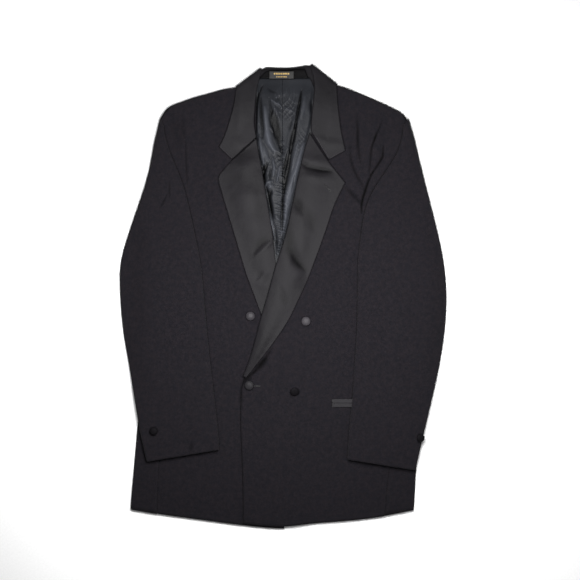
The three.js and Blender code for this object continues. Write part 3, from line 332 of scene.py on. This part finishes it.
class CreaseSizes(bpy.types.PropertyGroup):
    """How strongly the cloth is creased."""

    depth: bpy.props.FloatProperty(
        name="Crease depth", description="Multiplies the depth of every crease", default=1.0,
        min=0.0, max=1.5, subtype="FACTOR")
    gather: bpy.props.FloatProperty(
        name="Gather depth", description="Depth of the puckers beside the lining's pleat",
        default=0.0009, min=0.0, max=0.0015, subtype="DISTANCE", unit="LENGTH")


class StageSizes(bpy.types.PropertyGroup):
    """Camera of the flat lay."""

    camera_height: bpy.props.FloatProperty(
        name="Camera height", description="Height of the camera above the table", default=3.0,
        min=1.0, max=6.0, subtype="DISTANCE", unit="LENGTH")
    field: bpy.props.FloatProperty(
        name="Field", description="Width of the table that the picture takes in", default=1.015,
        min=0.5, max=2.0, subtype="DISTANCE", unit="LENGTH")


# Materials


def linear(text):
    """An sRGB hex value as a linear colour with an alpha of 1."""
    channels = [int(text[i:i + 2], 16) / 255 for i in (1, 3, 5)]
    return [c / 12.92 if c <= 0.04045 else ((c + 0.055) / 1.055) ** 2.4 for c in channels] + [1.0]


def add_node(tree, kind, settings=None, values=None, links=None):
    """Adds one node, with its settings, its sockets' values and the links into it."""
    made = tree.nodes.new(kind)
    for key, value in (settings or {}).items():
        setattr(made, key, value)
    for key, value in (values or {}).items():
        made.inputs[key].default_value = value
    for key, socket in (links or {}).items():
        tree.links.new(socket, made.inputs[key])
    return made


def new_material(name):
    """A material with only a Principled shader and its output."""
    material = bpy.data.materials.new(name)
    material.use_nodes = True
    tree = material.node_tree
    tree.nodes.clear()
    shader = add_node(tree, "ShaderNodeBsdfPrincipled")
    add_node(tree, "ShaderNodeOutputMaterial", links={"Surface": shader.outputs["BSDF"]})
    return material, tree, shader


def bands_scale(step):
    """The Wave texture's scale for bands that are one step apart."""
    return math.tau / (20 * step)


def weave(tree, place, step, turn):
    """The height of threads that cross, one step apart, turned on the cloth."""
    turned = add_node(tree, "ShaderNodeMapping", values={"Rotation": (0, 0, turn)},
                      links={"Vector": place})
    heights = []
    for direction in ("X", "Y"):
        wave = add_node(
            tree, "ShaderNodeTexWave", {"bands_direction": direction},
            {"Scale": bands_scale(step), "Distortion": 0.6, "Detail": 1.0, "Detail Scale": 1.5},
            {"Vector": turned.outputs["Vector"]})
        heights.append(wave.outputs["Fac"])
    return add_node(tree, "ShaderNodeMath", {"operation": "MULTIPLY"},
                    links={0: heights[0], 1: heights[1]}).outputs["Value"]


def shades(tree, factor, low, high, near, far):
    """A colour ramp from near to far between two values of the factor."""
    ramp = add_node(tree, "ShaderNodeValToRGB", links={"Fac": factor})
    ends = ramp.color_ramp.elements
    ends[0].position, ends[0].color = low, near
    ends[1].position, ends[1].color = high, far
    return ramp.outputs["Color"]


def shaded(colour, factor):
    return [c * factor for c in colour[:3]] + [1.0]


def multiplied(tree, colour, amount, share=1.0):
    """The colour multiplied by another one, by a share of the whole."""
    return add_node(tree, "ShaderNodeMix", {"data_type": "RGBA", "blend_type": "MULTIPLY"}, {0: share},
                    {6: colour, 7: amount}).outputs[2]


def grey(level):
    return (level, level, level, 1)


def painted_fold_shade(tree, colour, hollow, ridge):
    """Painted shade in a fold's hollow and painted highlight on its ridge, multiplied into the colour, and
    painted shade in cracks.
    """
    fold = add_node(tree, "ShaderNodeAttribute", {"attribute_name": "fold"}).outputs["Fac"]
    ramp = add_node(tree, "ShaderNodeValToRGB", links={"Fac": fold})
    stops = ramp.color_ramp.elements
    stops[0].color = grey(hollow)
    stops.new(0.5).color = grey(1)
    stops[-1].color = grey(ridge)
    return painted_crack_shade(tree, multiplied(tree, colour, ramp.outputs["Color"]))


def painted_crack_shade(tree, colour):
    """Painted shade: the colour darkened by ambient occlusion in the narrow cracks beside the edges of other
    pieces.
    """
    opened = add_node(tree, "ShaderNodeAmbientOcclusion", {"samples": 8}, {"Distance": CRACK_REACH})
    return multiplied(tree, colour, shades(tree, opened.outputs["AO"], 0.35, 0.85, grey(0.1), grey(1)))


def barathea_wool(looks):
    """Matt worsted wool: a fine broken rib that swallows light, with a soft haze and a few specks."""
    material, tree, shader = new_material("barathea wool")
    colour = linear(looks.wool)
    place = add_node(tree, "ShaderNodeTexCoord").outputs["Object"]
    patches = add_node(tree, "ShaderNodeTexNoise", values={"Scale": 140, "Detail": 5},
                       links={"Vector": place})
    cool = [colour[0] * 0.84, colour[1] * 0.9, colour[2] * 0.95, 1.0]
    warm = [colour[0] * 1.12, colour[1] * 1.1, colour[2] * 1.1, 1.0]
    base = shades(tree, patches.outputs["Fac"], 0.38, 0.62, cool, warm)
    grain = add_node(tree, "ShaderNodeTexNoise", values={"Scale": 420, "Detail": 2},
                     links={"Vector": place})
    mottle = shades(tree, grain.outputs["Fac"], 0.3, 0.7, grey(0.6), grey(1.4))
    grained = multiplied(tree, base, mottle, 0.5)
    specks = add_node(tree, "ShaderNodeTexVoronoi", values={"Scale": 75}, links={"Vector": place})
    lint = shades(tree, specks.outputs["Distance"], 0.035, 0.075, grey(1), grey(0))
    # The colour takes painted shade in the hollows of the folds and in cracks, and painted highlight on their
    # ridges
    mixed = add_node(
        tree, "ShaderNodeMix", {"data_type": "RGBA"}, {7: (0.012, 0.012, 0.014, 1)},
        {0: lint, 6: painted_fold_shade(tree, grained, 0.12, 1.12)})
    threads = weave(tree, place, looks.thread_step, math.radians(12))
    height = add_node(tree, "ShaderNodeMath", {"operation": "ADD"},
                      links={0: threads, 1: grain.outputs["Fac"]})
    bump = add_node(tree, "ShaderNodeBump", values={"Strength": 0.5, "Distance": 0.0004},
                    links={"Height": height.outputs["Value"]})
    tree.links.new(mixed.outputs[2], shader.inputs["Base Color"])
    tree.links.new(bump.outputs["Normal"], shader.inputs["Normal"])
    shader.inputs["Roughness"].default_value = 0.85
    shader.inputs["Specular IOR Level"].default_value = 0.04
    shader.inputs["Sheen Weight"].default_value = 0.03
    shader.inputs["Sheen Roughness"].default_value = 0.5
    return material


def satin_cloth(name, text, row):
    """Warp-faced satin: long smooth floats that shine where they lie flat and go dark where they tilt."""
    material, tree, shader = new_material(name)
    colour = linear(text)
    place = add_node(tree, "ShaderNodeTexCoord").outputs["Object"]
    patches = add_node(tree, "ShaderNodeTexNoise", values={"Scale": 22, "Detail": 4},
                       links={"Vector": place})
    base = shades(tree, patches.outputs["Fac"], 0.3, 0.72, shaded(colour, 0.82), shaded(colour, 1.18))
    rubbed = add_node(tree, "ShaderNodeMapRange",
                      values={"From Min": 0.3, "From Max": 0.7, "To Min": row["rough"] - 0.04,
                              "To Max": row["rough"] + 0.06},
                      links={"Value": patches.outputs["Fac"]})
    stretched = add_node(tree, "ShaderNodeMapping", values={"Scale": (1, 0.12, 1)},
                         links={"Vector": place})
    floats = add_node(tree, "ShaderNodeTexNoise", values={"Scale": 1500, "Detail": 2},
                      links={"Vector": stretched.outputs["Vector"]})
    slack = add_node(tree, "ShaderNodeTexNoise", values={"Scale": 60, "Detail": 2},
                     links={"Vector": place})
    fine = add_node(tree, "ShaderNodeBump", values={"Strength": 0.25, "Distance": row["floats"]},
                    links={"Height": floats.outputs["Fac"]})
    bump = add_node(tree, "ShaderNodeBump", values={"Strength": 0.35, "Distance": 0.0012},
                    links={"Height": slack.outputs["Fac"], "Normal": fine.outputs["Normal"]})
    # Folded satin takes painted shade in its hollows and cracks and painted highlight on its ridges
    if "fold_shade" in row:
        base = painted_fold_shade(tree, base, *row["fold_shade"])
    tree.links.new(base, shader.inputs["Base Color"])
    tree.links.new(rubbed.outputs["Result"], shader.inputs["Roughness"])
    tree.links.new(bump.outputs["Normal"], shader.inputs["Normal"])
    shader.inputs["Specular IOR Level"].default_value = row["shine"]
    shader.inputs["Anisotropic"].default_value = 0.4
    return material


def woven_label(looks):
    """A bare damask label: tight ribs and a dull finish."""
    material, tree, shader = new_material("woven label")
    place = add_node(tree, "ShaderNodeTexCoord").outputs["Object"]
    threads = weave(tree, place, 0.0006, 0)
    colour = linear(looks.label)
    base = shades(tree, threads, 0.1, 0.9, shaded(colour, 0.8), shaded(colour, 1.5))
    bump = add_node(tree, "ShaderNodeBump", values={"Strength": 0.4, "Distance": 0.0002},
                    links={"Height": threads})
    tree.links.new(base, shader.inputs["Base Color"])
    tree.links.new(bump.outputs["Normal"], shader.inputs["Normal"])
    shader.inputs["Roughness"].default_value = 0.7
    return material


def sewing_thread(name, colour, roughness):
    """Twisted polyester thread with a dull shine."""
    material, tree, shader = new_material(name)
    place = add_node(tree, "ShaderNodeTexCoord").outputs["Object"]
    twist = add_node(tree, "ShaderNodeTexWave", {"bands_direction": "DIAGONAL"},
                     {"Scale": bands_scale(0.0005)}, {"Vector": place})
    base = shades(tree, twist.outputs["Fac"], 0.2, 0.8, shaded(colour, 0.7), shaded(colour, 1.3))
    tree.links.new(base, shader.inputs["Base Color"])
    shader.inputs["Roughness"].default_value = roughness
    return material


def white_table():
    """Matt white paper that the jacket is shown on."""
    material, tree, shader = new_material("white paper")
    place = add_node(tree, "ShaderNodeTexCoord").outputs["Object"]
    fibres = add_node(tree, "ShaderNodeTexNoise", values={"Scale": 300, "Detail": 2},
                      links={"Vector": place})
    base = shades(tree, fibres.outputs["Fac"], 0.3, 0.7, linear("#F6F6F6"), linear("#FBFBFB"))
    tree.links.new(base, shader.inputs["Base Color"])
    shader.inputs["Roughness"].default_value = 0.9
    shader.inputs["Specular IOR Level"].default_value = 0.1
    return material


# The satins: the colour's name in the looks, the roughness, the depth of the floats in metres, the
# specular level, and for folded satin how its hollows and ridges multiply the colour, as painted shade and
# highlight
SATINS = {
    "facing satin": {"colour": "satin", "rough": 0.4, "floats": 0.00012, "shine": 0.032, "fold_shade": (0.3, 1.2)},
    "lining satin": {
        "colour": "lining", "rough": 0.32, "floats": 0.00008, "shine": 0.045, "fold_shade": (0.13, 3.2)},
    "button satin": {"colour": "button", "rough": 0.4, "floats": 0.00012, "shine": 0.065},
    # Darker copies of the button satin: painted shade
    "button satin in half shade": {"colour": "half_shade_button_and_jets", "rough": 0.45, "floats": 0.00012, "shine": 0.04},
    "button satin in shade": {"colour": "shaded_button", "rough": 0.55, "floats": 0.00012, "shine": 0.02},
    "jet satin": {"colour": "half_shade_button_and_jets", "rough": 0.45, "floats": 0.00012, "shine": 0.034},
    # A paler copy of the satin for the collar's edge beads: a painted highlight
    "highlit satin edge": {"colour": "button", "rough": 0.4, "floats": 0.00012, "shine": 0.08},
}


def finish(name):
    """The material of one finish, made once."""
    found = bpy.data.materials.get(name)
    if found:
        return found
    looks = bpy.context.scene.jacket_looks
    if name == "barathea wool":
        return barathea_wool(looks)
    if name in SATINS:
        return satin_cloth(name, getattr(looks, SATINS[name]["colour"]), SATINS[name])
    if name == "woven label":
        return woven_label(looks)
    if name == "gold thread":
        return sewing_thread(name, linear(looks.gold), 0.45)
    return sewing_thread("black thread", linear("#0D0C0E"), 0.6)


# Creases


def smooth_step(values, low, high):
    t = np.clip((values - low) / (high - low), 0, 1)
    return t * t * (3 - 2 * t)


def crease_rise(points, crease):
    """How far one crease lifts each point, in millimetres."""
    line = np.array(crease["line"], float)
    lengths = np.linalg.norm(np.diff(line, axis=0), axis=1)
    starts = np.concatenate(([0], np.cumsum(lengths)))
    nearest = np.full(len(points), 1e9)
    along = np.zeros(len(points))
    side = np.zeros(len(points))
    for index, length in enumerate(lengths):
        step = (line[index + 1] - line[index]) / length
        gap = points - line[index]
        run = np.clip(gap @ step, 0, length)
        away = gap - run[:, None] * step
        far = np.linalg.norm(away, axis=1)
        closer = far < nearest
        nearest[closer] = far[closer]
        along[closer] = (starts[index] + run)[closer]
        side[closer] = (step[0] * away[:, 1] - step[1] * away[:, 0])[closer]
    t = along / starts[-1]
    fade = np.sin(np.pi * np.clip(0.06 + 0.88 * t, 0, 1)) ** 0.5
    across = nearest / (crease["width"] * (0.75 + 0.5 * np.sin(np.pi * t)))
    shape = np.exp(-across ** 2)
    hollow = np.sign(side) * across * np.exp(-across ** 2 / 1.6)
    return crease["depth"] * fade * (shape - crease.get("lean", 0) * hollow)


def soft_waves(points, height):
    """Slow uneven undulation of cloth that has been laid down by hand."""
    waves = ((0.031, 0.012, 0.4), (-0.017, 0.027, 1.9), (0.011, -0.041, 3.3), (0.052, 0.036, 5.1))
    total = np.zeros(len(points))
    for across, along, start in waves:
        total += np.sin(points[:, 0] * across + points[:, 1] * along + start)
    return height * total / len(waves)


def gathers(points, depth):
    """Short puckers that fan out from the lining's pleat, reaching further from it towards the bottom."""
    x, y = points[:, 0], points[:, 1]
    beat = y / GATHER_STEP + 0.6 * np.sin(y * 0.11) + 0.35 * np.sin(y * 0.29 + 1) + 0.05 * x
    middle = np.where(x < -1, -1 - 6 * (1 - smooth_step(y, 170, 215)), -1)
    reach = np.exp(-((x - middle) / (2.2 + 4.5 * (1 - smooth_step(y, 170, 240)))) ** 2)
    rows = smooth_step(y, GATHER_BOTTOM - 20, GATHER_BOTTOM + 10) * (1 - smooth_step(y, 262, GATHER_TOP))
    return depth * np.sin(math.tau * beat) * reach * rows


def in_opening(points):
    """How far a point is clear of the fronts' rolled edges, from 0 to 1."""
    x, y = points[:, 0], points[:, 1]
    heights, lefts, rights = (np.array(column, float) for column in zip(*ROLLED_EDGES))
    from_left = smooth_step(x - np.interp(y, heights, lefts), 1, 6)
    from_right = smooth_step(np.interp(y, heights, rights) - x, 1, 6)
    return from_left * from_right * smooth_step(y, 50, 90) * (1 - smooth_step(y, 352, 372))


def rucks(points):
    """Fine sharp wrinkles of satin that has been crushed, in patches, in millimetres."""
    x, y = points[:, 0], points[:, 1]
    bend = 1.7 * np.sin(x * 0.13 + y * 0.045) + 1.1 * np.sin(y * 0.083 - x * 0.06 + 2)
    first = 1 - np.abs(np.sin(x * 0.42 - y * 0.16 + bend))
    second = 1 - np.abs(np.sin(x * 0.31 + y * 0.24 - 1.3 * bend + 1))
    patch = smooth_step(np.sin(x * 0.07 + y * 0.038 + 0.8) + np.sin(y * 0.061 - x * 0.03), -0.6, 1.2)
    return (0.55 * first ** 2 + 0.4 * second ** 2 - 0.3) * patch


def creased(mesh, creases, kind, more=None):
    """Lifts the mesh's points by the creases and notes how far each lies in a fold, for the painted shade and
    highlight of its folds.

    Further wrinkles, and a lift that isn't shaded as a fold, come from the function more.
    """
    first, sink, full = kind["from"], kind["sink"], kind["full"]
    depth = bpy.context.scene.jacket_creases.depth
    count = len(mesh.vertices)
    places = np.empty(count * 3)
    mesh.vertices.foreach_get("co", places)
    places = places.reshape(count, 3)
    flat = places[:, :2] / MM
    rise = sum((crease_rise(flat, crease) for crease in creases), np.zeros(count))
    lifted = np.zeros(count)
    if more is not None:
        wrinkles, lifted = more(flat)
        rise += wrinkles
    share = smooth_step(places[:, 2] / MM, first, first + 1.5)
    waves = soft_waves(flat, WAVE_HEIGHT)
    moved = (np.where(rise < 0, rise * sink, rise) + lifted + waves) * share * depth
    lowest = np.minimum(places[:, 2], (first + LEAST_HEIGHT) * MM)
    places[:, 2] = np.maximum(places[:, 2] + moved * MM, lowest)
    mesh.vertices.foreach_set("co", places.ravel())
    fold = mesh.attributes.new("fold", "FLOAT", "POINT")
    fold.data.foreach_set("value", np.clip(0.5 + rise * share / (2 * full), 0, 1))
    mesh.update()


# Pieces


# The label's rows of lozenges: how many, their spacing and height, and how far the row lies above
# the label's middle, in metres
LOZENGE_ROWS = (
    {"count": 9, "step": 0.0031, "height": 0.0023, "up": 0.0022},
    {"count": 7, "step": 0.0028, "height": 0.0013, "up": -0.0033},
)

# Beads along the sewn edges of the collar, in a paler satin that paints the highlight where they catch the
# light: start and end in millimetres
COLLAR_EDGES = {
    "collar_edge_right": ((-108.4, 259.2), (-89.2, 241.2)),
    "collar_edge_left": ((104.6, 253.8), (81.4, 240.6)),
    "collar_gorge_left": ((79.8, 241.6), (56.4, 279.6)),
}

# The buttonholes: the panel that each is sewn in, its start and end in millimetres and its slot
BUTTONHOLES = {
    "lapel_buttonhole": {"on": "lapel_left", "start": (72.5, 195), "end": (83.5, 182.7), "slot": "satin"},
    "front_buttonhole": {"on": "front_left", "start": (-50, -156.5), "end": (-40, -157), "slot": "wool"},
}

# Areas that have narrow folds and are divided once more, as left, low, right and high in millimetres
FINE_AREAS = {
    "front_left": ((98, 130, 200, 312), (-90, -185, -10, -80)),
    "front_right": ((-196, 165, -150, 312),),
    "top_sleeve_right": ((-232, 120, -180, 220),),
    "back_lining_right": ((-70, 30, 0, 375),),
    "back_lining_left": ((-2, 30, 70, 375),),
}


def merged_copy(node):
    """A cut panel's mesh with its corners joined and its triangles made quads again."""
    mesh = bpy.data.objects[node].data.copy()
    mesh.materials.clear()
    made = bmesh.new()
    made.from_mesh(mesh)
    bmesh.ops.remove_doubles(made, verts=made.verts, dist=1e-6)
    bmesh.ops.join_triangles(
        made, faces=made.faces, cmp_seam=False, cmp_sharp=False, cmp_uvs=False, cmp_vcols=False,
        cmp_materials=False, angle_face_threshold=0.7, angle_shape_threshold=3.0)
    for left, low, right, high in FINE_AREAS.get(node, ()):
        inside = [edge for edge in made.edges if edge.calc_length() > 0.007 and all(
            left <= v.co.x / MM <= right and low <= v.co.y / MM <= high for v in edge.verts)]
        bmesh.ops.subdivide_edges(made, edges=inside, cuts=1, use_grid_fill=True)
    crease = made.edges.layers.float.new("crease_edge")
    for edge in made.edges:
        if edge.calc_face_angle(0) > math.radians(58):
            edge[crease] = 1.0
    made.to_mesh(mesh)
    made.free()
    return mesh


def placed(name, mesh, surface, nodes):
    """An object of the jacket with its material, the panels it stands for hidden."""
    mesh.name = name
    mesh.materials.append(finish(surface))
    mesh.shade_smooth()
    piece = bpy.data.objects.new(name, mesh)
    bpy.context.scene.collection.objects.link(piece)
    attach(piece, "root")
    if nodes:
        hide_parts(*nodes)
    return piece


def divided(mesh, levels):
    """The mesh after smooth subdivision, its rims kept sharp."""
    carrier = bpy.data.objects.new("carrier", mesh)
    bpy.context.scene.collection.objects.link(carrier)
    smooth = carrier.modifiers.new("divide", "SUBSURF")
    smooth.levels = levels
    smooth.render_levels = levels
    graph = bpy.context.evaluated_depsgraph_get()
    made = bpy.data.meshes.new_from_object(carrier.evaluated_get(graph))
    bpy.data.objects.remove(carrier)
    return made


def dress(node, surface, creases, more=None):
    """One cloth piece on the form of its cut panel."""
    row = CLOTHS[node]
    kind = CLOTH_KINDS[row["kind"]]
    mesh = divided(merged_copy(node), kind["divide"])
    creased(mesh, creases, kind, more)
    piece = placed(node + "_cloth", mesh, surface, [node])
    return piece


def thread_mesh(stitches, radius):
    """Short rounded threads, one for each pair of end points."""
    made = bmesh.new()
    for start, end in stitches:
        start, end = Vector(start), Vector(end)
        run = end - start
        turn = run.to_track_quat("X", "Z").to_matrix().to_4x4()
        size = Matrix.Diagonal((run.length / 2, radius, radius, 1))
        place = Matrix.Translation((start + end) / 2) @ turn @ size
        bmesh.ops.create_uvsphere(made, u_segments=6, v_segments=6, radius=1,
                                  matrix=place @ Matrix.Rotation(math.pi / 2, 4, "Y"))
    mesh = bpy.data.meshes.new("threads")
    made.to_mesh(mesh)
    made.free()
    return mesh


def top_of(node, x, y):
    """The height in metres of a dressed piece at a place in millimetres, or else at its nearest rim."""
    piece = bpy.data.objects[node + "_cloth"]
    above = Vector((x * MM, y * MM, 0.1))
    hit, place, normal, index = piece.ray_cast(above, Vector((0, 0, -1)))
    if not hit:
        hit, place, normal, index = piece.closest_point_on_mesh(above)
    return place.z


class JACKET_OT_wool_panels(bpy.types.Operator):
    """Dresses the backs, side panels and fronts in wool"""

    bl_idname = "jacket.wool_panels"
    bl_label = "Wool Panels"

    def execute(self, context):
        for node in ("back_right", "back_left", "side_panel_right", "side_panel_left",
                     "front_right", "front_left"):
            dress(node, "barathea wool", FRONT_CREASES)
        return {"FINISHED"}


def ease_head(mesh, head):
    """Draws the top corner of a sleeve head up to the shoulder's end."""
    left, low = head["corner"]
    for vertex in mesh.vertices:
        x, y = vertex.co.x / MM, vertex.co.y / MM
        near = math.exp(-(((x - left) / 7) ** 2 + ((y - low) / 9) ** 2))
        vertex.co.y += head["rise"] * near * MM
        vertex.co.x += head["right"] * near * MM


class JACKET_OT_sleeves(bpy.types.Operator):
    """Dresses both halves of each sleeve in wool"""

    bl_idname = "jacket.sleeves"
    bl_label = "Sleeves"

    def execute(self, context):
        for node in ("under_sleeve_right", "under_sleeve_left", "top_sleeve_right", "top_sleeve_left"):
            dress(node, "barathea wool", SLEEVE_CREASES)
        for node, head in SLEEVE_HEADS.items():
            ease_head(bpy.data.objects[node + "_cloth"].data, head)
        return {"FINISHED"}


class JACKET_OT_facings(bpy.types.Operator):
    """Dresses the lapels, the collar and its stand in satin"""

    bl_idname = "jacket.facings"
    bl_label = "Lapels and Collar"

    def execute(self, context):
        for node in ("lapel_right", "lapel_left", "collar"):
            dress(node, "facing satin", LAPEL_CREASES)
        mesh = divided(merged_copy("collar_stand"), 3)
        placed("collar_stand_cloth", mesh, "facing satin", ["collar_stand"])
        for name, (start, end) in COLLAR_EDGES.items():
            first, last = Vector(start), Vector(end)
            places = [first.lerp(last, step / 12) for step in range(13)]
            tops = [(p.x * MM, p.y * MM, top_of("collar", p.x, p.y) + 0.0001) for p in places]
            placed(name, thread_mesh(list(zip(tops, tops[1:])), 0.00045), "highlit satin edge", [])
        return {"FINISHED"}


class JACKET_OT_lining(bpy.types.Operator):
    """Dresses the lining, with its pleat and gathers"""

    bl_idname = "jacket.lining"
    bl_label = "Lining"

    def execute(self, context):
        depth = context.scene.jacket_creases.gather / MM

        def billow(flat):
            free = in_opening(flat)
            return gathers(flat, depth) + rucks(flat) * free, LINING_BILLOW * free

        for node in ("back_lining_right", "back_lining_left"):
            dress(node, "lining satin", LINING_CREASES, billow)
        return {"FINISHED"}


class JACKET_OT_buttons(bpy.types.Operator):
    """Makes the satin-covered buttons"""

    bl_idname = "jacket.covered_buttons"
    bl_label = "Covered Buttons"

    def execute(self, context):
        for node, surface in BUTTONS.items():
            mesh = divided(merged_copy(node), 2)
            placed(node + "_satin", mesh, surface, [node])
        return {"FINISHED"}


class JACKET_OT_pockets(bpy.types.Operator):
    """Makes the satin jets of the hip pockets and a bar tack at one end of the left lower jet"""

    bl_idname = "jacket.pockets"
    bl_label = "Pockets"

    def execute(self, context):
        for node in JETS:
            mesh = divided(merged_copy(node), 3)
            placed(node + "_satin", mesh, "jet satin", [node])
        tacks = []
        low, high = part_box("pocket_left_lower_jet")
        end = low.x
        height = high.z + 0.0002
        for step in range(14):
            y = low.y + 0.001 * step
            tacks.append(((end + 0.0004, y, height), (end + 0.003, y + 0.0004, height)))
        placed("pocket_left_bar_tack", thread_mesh(tacks, 0.0003), "black thread", [])
        return {"FINISHED"}


class JACKET_OT_label(bpy.types.Operator):
    """Makes the bare neck label with its woven lozenges and stitches along its top and bottom edges"""

    bl_idname = "jacket.neck_label"
    bl_label = "Neck Label"

    def execute(self, context):
        mesh = divided(merged_copy("neck_label"), 3)
        placed("neck_label_cloth", mesh, "woven label", ["neck_label"])
        low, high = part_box("neck_label")
        made = bmesh.new()
        middle = (low.y + high.y) / 2
        for row in LOZENGE_ROWS:
            for index in range(row["count"]):
                x = (low.x + high.x) / 2 + (index - (row["count"] - 1) / 2) * row["step"]
                place = Matrix.Translation((x, middle + row["up"], high.z + 0.0001))
                size = Matrix.Diagonal((0.42 * row["step"], row["height"], 0.0003, 1))
                bmesh.ops.create_cone(made, cap_ends=True, segments=4, radius1=1, radius2=0.7,
                                      depth=1, matrix=place @ size)
        lozenges = bpy.data.meshes.new("lozenges")
        made.to_mesh(lozenges)
        made.free()
        placed("neck_label_lozenges", lozenges, "gold thread", [])
        stitches = []
        for index in range(16):
            x = low.x + 0.0013 + index * (high.x - low.x - 0.0026) / 15.0
            for y in (low.y + 0.0009, high.y - 0.0009):
                stitches.append(((x - 0.0009, y, high.z + 0.0001), (x + 0.0009, y, high.z + 0.0001)))
        placed("neck_label_stitches", thread_mesh(stitches, 0.00022), "black thread", [])
        return {"FINISHED"}


class JACKET_OT_buttonholes(bpy.types.Operator):
    """Sews the buttonholes of the lapel and of the left front"""

    bl_idname = "jacket.buttonholes"
    bl_label = "Buttonholes"

    def execute(self, context):
        for name, hole in BUTTONHOLES.items():
            first, last = Vector(hole["start"]), Vector(hole["end"])
            run = last - first
            across = Vector((-run.y, run.x)).normalized()
            count = round(run.length / 0.55)
            threads = []
            for side in (-1, 1):
                for index in range(count + 1):
                    inner = first + run * index / count + across * side * 0.25
                    outer = inner + across * side * 1.3
                    threads.append(tuple(
                        (p.x * MM, p.y * MM, top_of(hole["on"], p.x, p.y) + 0.0002)
                        for p in (inner, outer)))
            placed(name, thread_mesh(threads, 0.0003), "black thread", [])
        return {"FINISHED"}


# The lights: where each stands, where it aims and its size, in metres, and its power in watts
LIGHTS = {
    "overhead": {"place": (0.03, 0.06, 0.62), "aim": (0.02, 0.03, 0), "size": 0.45, "power": 13.5},
    "window": {"place": (-1.2, 1.3, 0.8), "aim": (-0.1, 0.1, 0), "size": 0.6, "power": 7},
    "fill": {"place": (1.5, -0.9, 0.9), "aim": (0.1, 0, 0), "size": 1.0, "power": 6},
}


class JACKET_OT_stage(bpy.types.Operator):
    """Makes the white table, the soft studio light and the camera above"""

    bl_idname = "jacket.stage"
    bl_label = "Table, Lights and Camera"

    def execute(self, context):
        sizes = context.scene.jacket_stage
        made = bmesh.new()
        bmesh.ops.create_grid(made, x_segments=1, y_segments=1, size=6)
        bmesh.ops.translate(made, verts=made.verts, vec=(0, 0, -0.0004))
        mesh = bpy.data.meshes.new("table")
        made.to_mesh(mesh)
        made.free()
        mesh.materials.append(white_table())
        table = bpy.data.objects.new("table", mesh)
        context.scene.collection.objects.link(table)

        for name, row in LIGHTS.items():
            data = bpy.data.lights.new(name, "AREA")
            data.shape = "SQUARE"
            data.size = row["size"]
            data.energy = row["power"]
            light = bpy.data.objects.new(name, data)
            light.location = row["place"]
            aim = Vector(row["aim"]) - light.location
            light.rotation_euler = aim.to_track_quat("-Z", "Y").to_euler()
            light.visible_camera = False
            context.scene.collection.objects.link(light)

        world = bpy.data.worlds.new("studio")
        world.use_nodes = True
        world.node_tree.nodes["Background"].inputs["Color"].default_value = (1, 1, 1, 1)
        world.node_tree.nodes["Background"].inputs["Strength"].default_value = 0.16
        context.scene.world = world
        context.scene.view_settings.view_transform = "Standard"

        data = bpy.data.cameras.new("above")
        data.sensor_width = 36
        data.lens = data.sensor_width * sizes.camera_height / sizes.field
        data.clip_end = 50
        camera = bpy.data.objects.new("above", data)
        camera.location = (0.0121, 0.0107, sizes.camera_height)
        context.scene.collection.objects.link(camera)
        context.scene.camera = camera
        return {"FINISHED"}


class JACKET_PT_sidebar(bpy.types.Panel):
    """The jacket's pieces in the sidebar"""

    bl_idname = "JACKET_PT_sidebar"
    bl_label = "Dinner Jacket"
    bl_space_type = "VIEW_3D"
    bl_region_type = "UI"
    bl_category = "Dinner Jacket"

    def draw(self, context):
        scene = context.scene
        for group in (scene.jacket_looks, scene.jacket_creases, scene.jacket_stage):
            box = self.layout.box()
            for name in group.bl_rna.properties.keys():
                if name not in {"rna_type", "name"}:
                    box.prop(group, name)
        for operator in OPERATORS:
            self.layout.operator(operator.bl_idname)


GROUPS = (ClothLooks, CreaseSizes, StageSizes)
OPERATORS = (
    JACKET_OT_wool_panels,
    JACKET_OT_sleeves,
    JACKET_OT_facings,
    JACKET_OT_lining,
    JACKET_OT_buttons,
    JACKET_OT_pockets,
    JACKET_OT_label,
    JACKET_OT_buttonholes,
    JACKET_OT_stage,
)


def register():
    for group in (*GROUPS, *OPERATORS, JACKET_PT_sidebar):
        bpy.utils.register_class(group)
    bpy.types.Scene.jacket_looks = bpy.props.PointerProperty(type=ClothLooks)
    bpy.types.Scene.jacket_creases = bpy.props.PointerProperty(type=CreaseSizes)
    bpy.types.Scene.jacket_stage = bpy.props.PointerProperty(type=StageSizes)


def unregister():
    del bpy.types.Scene.jacket_stage
    del bpy.types.Scene.jacket_creases
    del bpy.types.Scene.jacket_looks
    for group in reversed((*GROUPS, *OPERATORS, JACKET_PT_sidebar)):
        bpy.utils.unregister_class(group)


def main():
    register()
    bpy.ops.jacket.wool_panels()
    bpy.ops.jacket.sleeves()
    bpy.ops.jacket.facings()
    bpy.ops.jacket.lining()
    bpy.ops.jacket.covered_buttons()
    bpy.ops.jacket.pockets()
    bpy.ops.jacket.neck_label()
    bpy.ops.jacket.buttonholes()
    bpy.ops.jacket.stage()


if __name__ == "__main__":
    main()
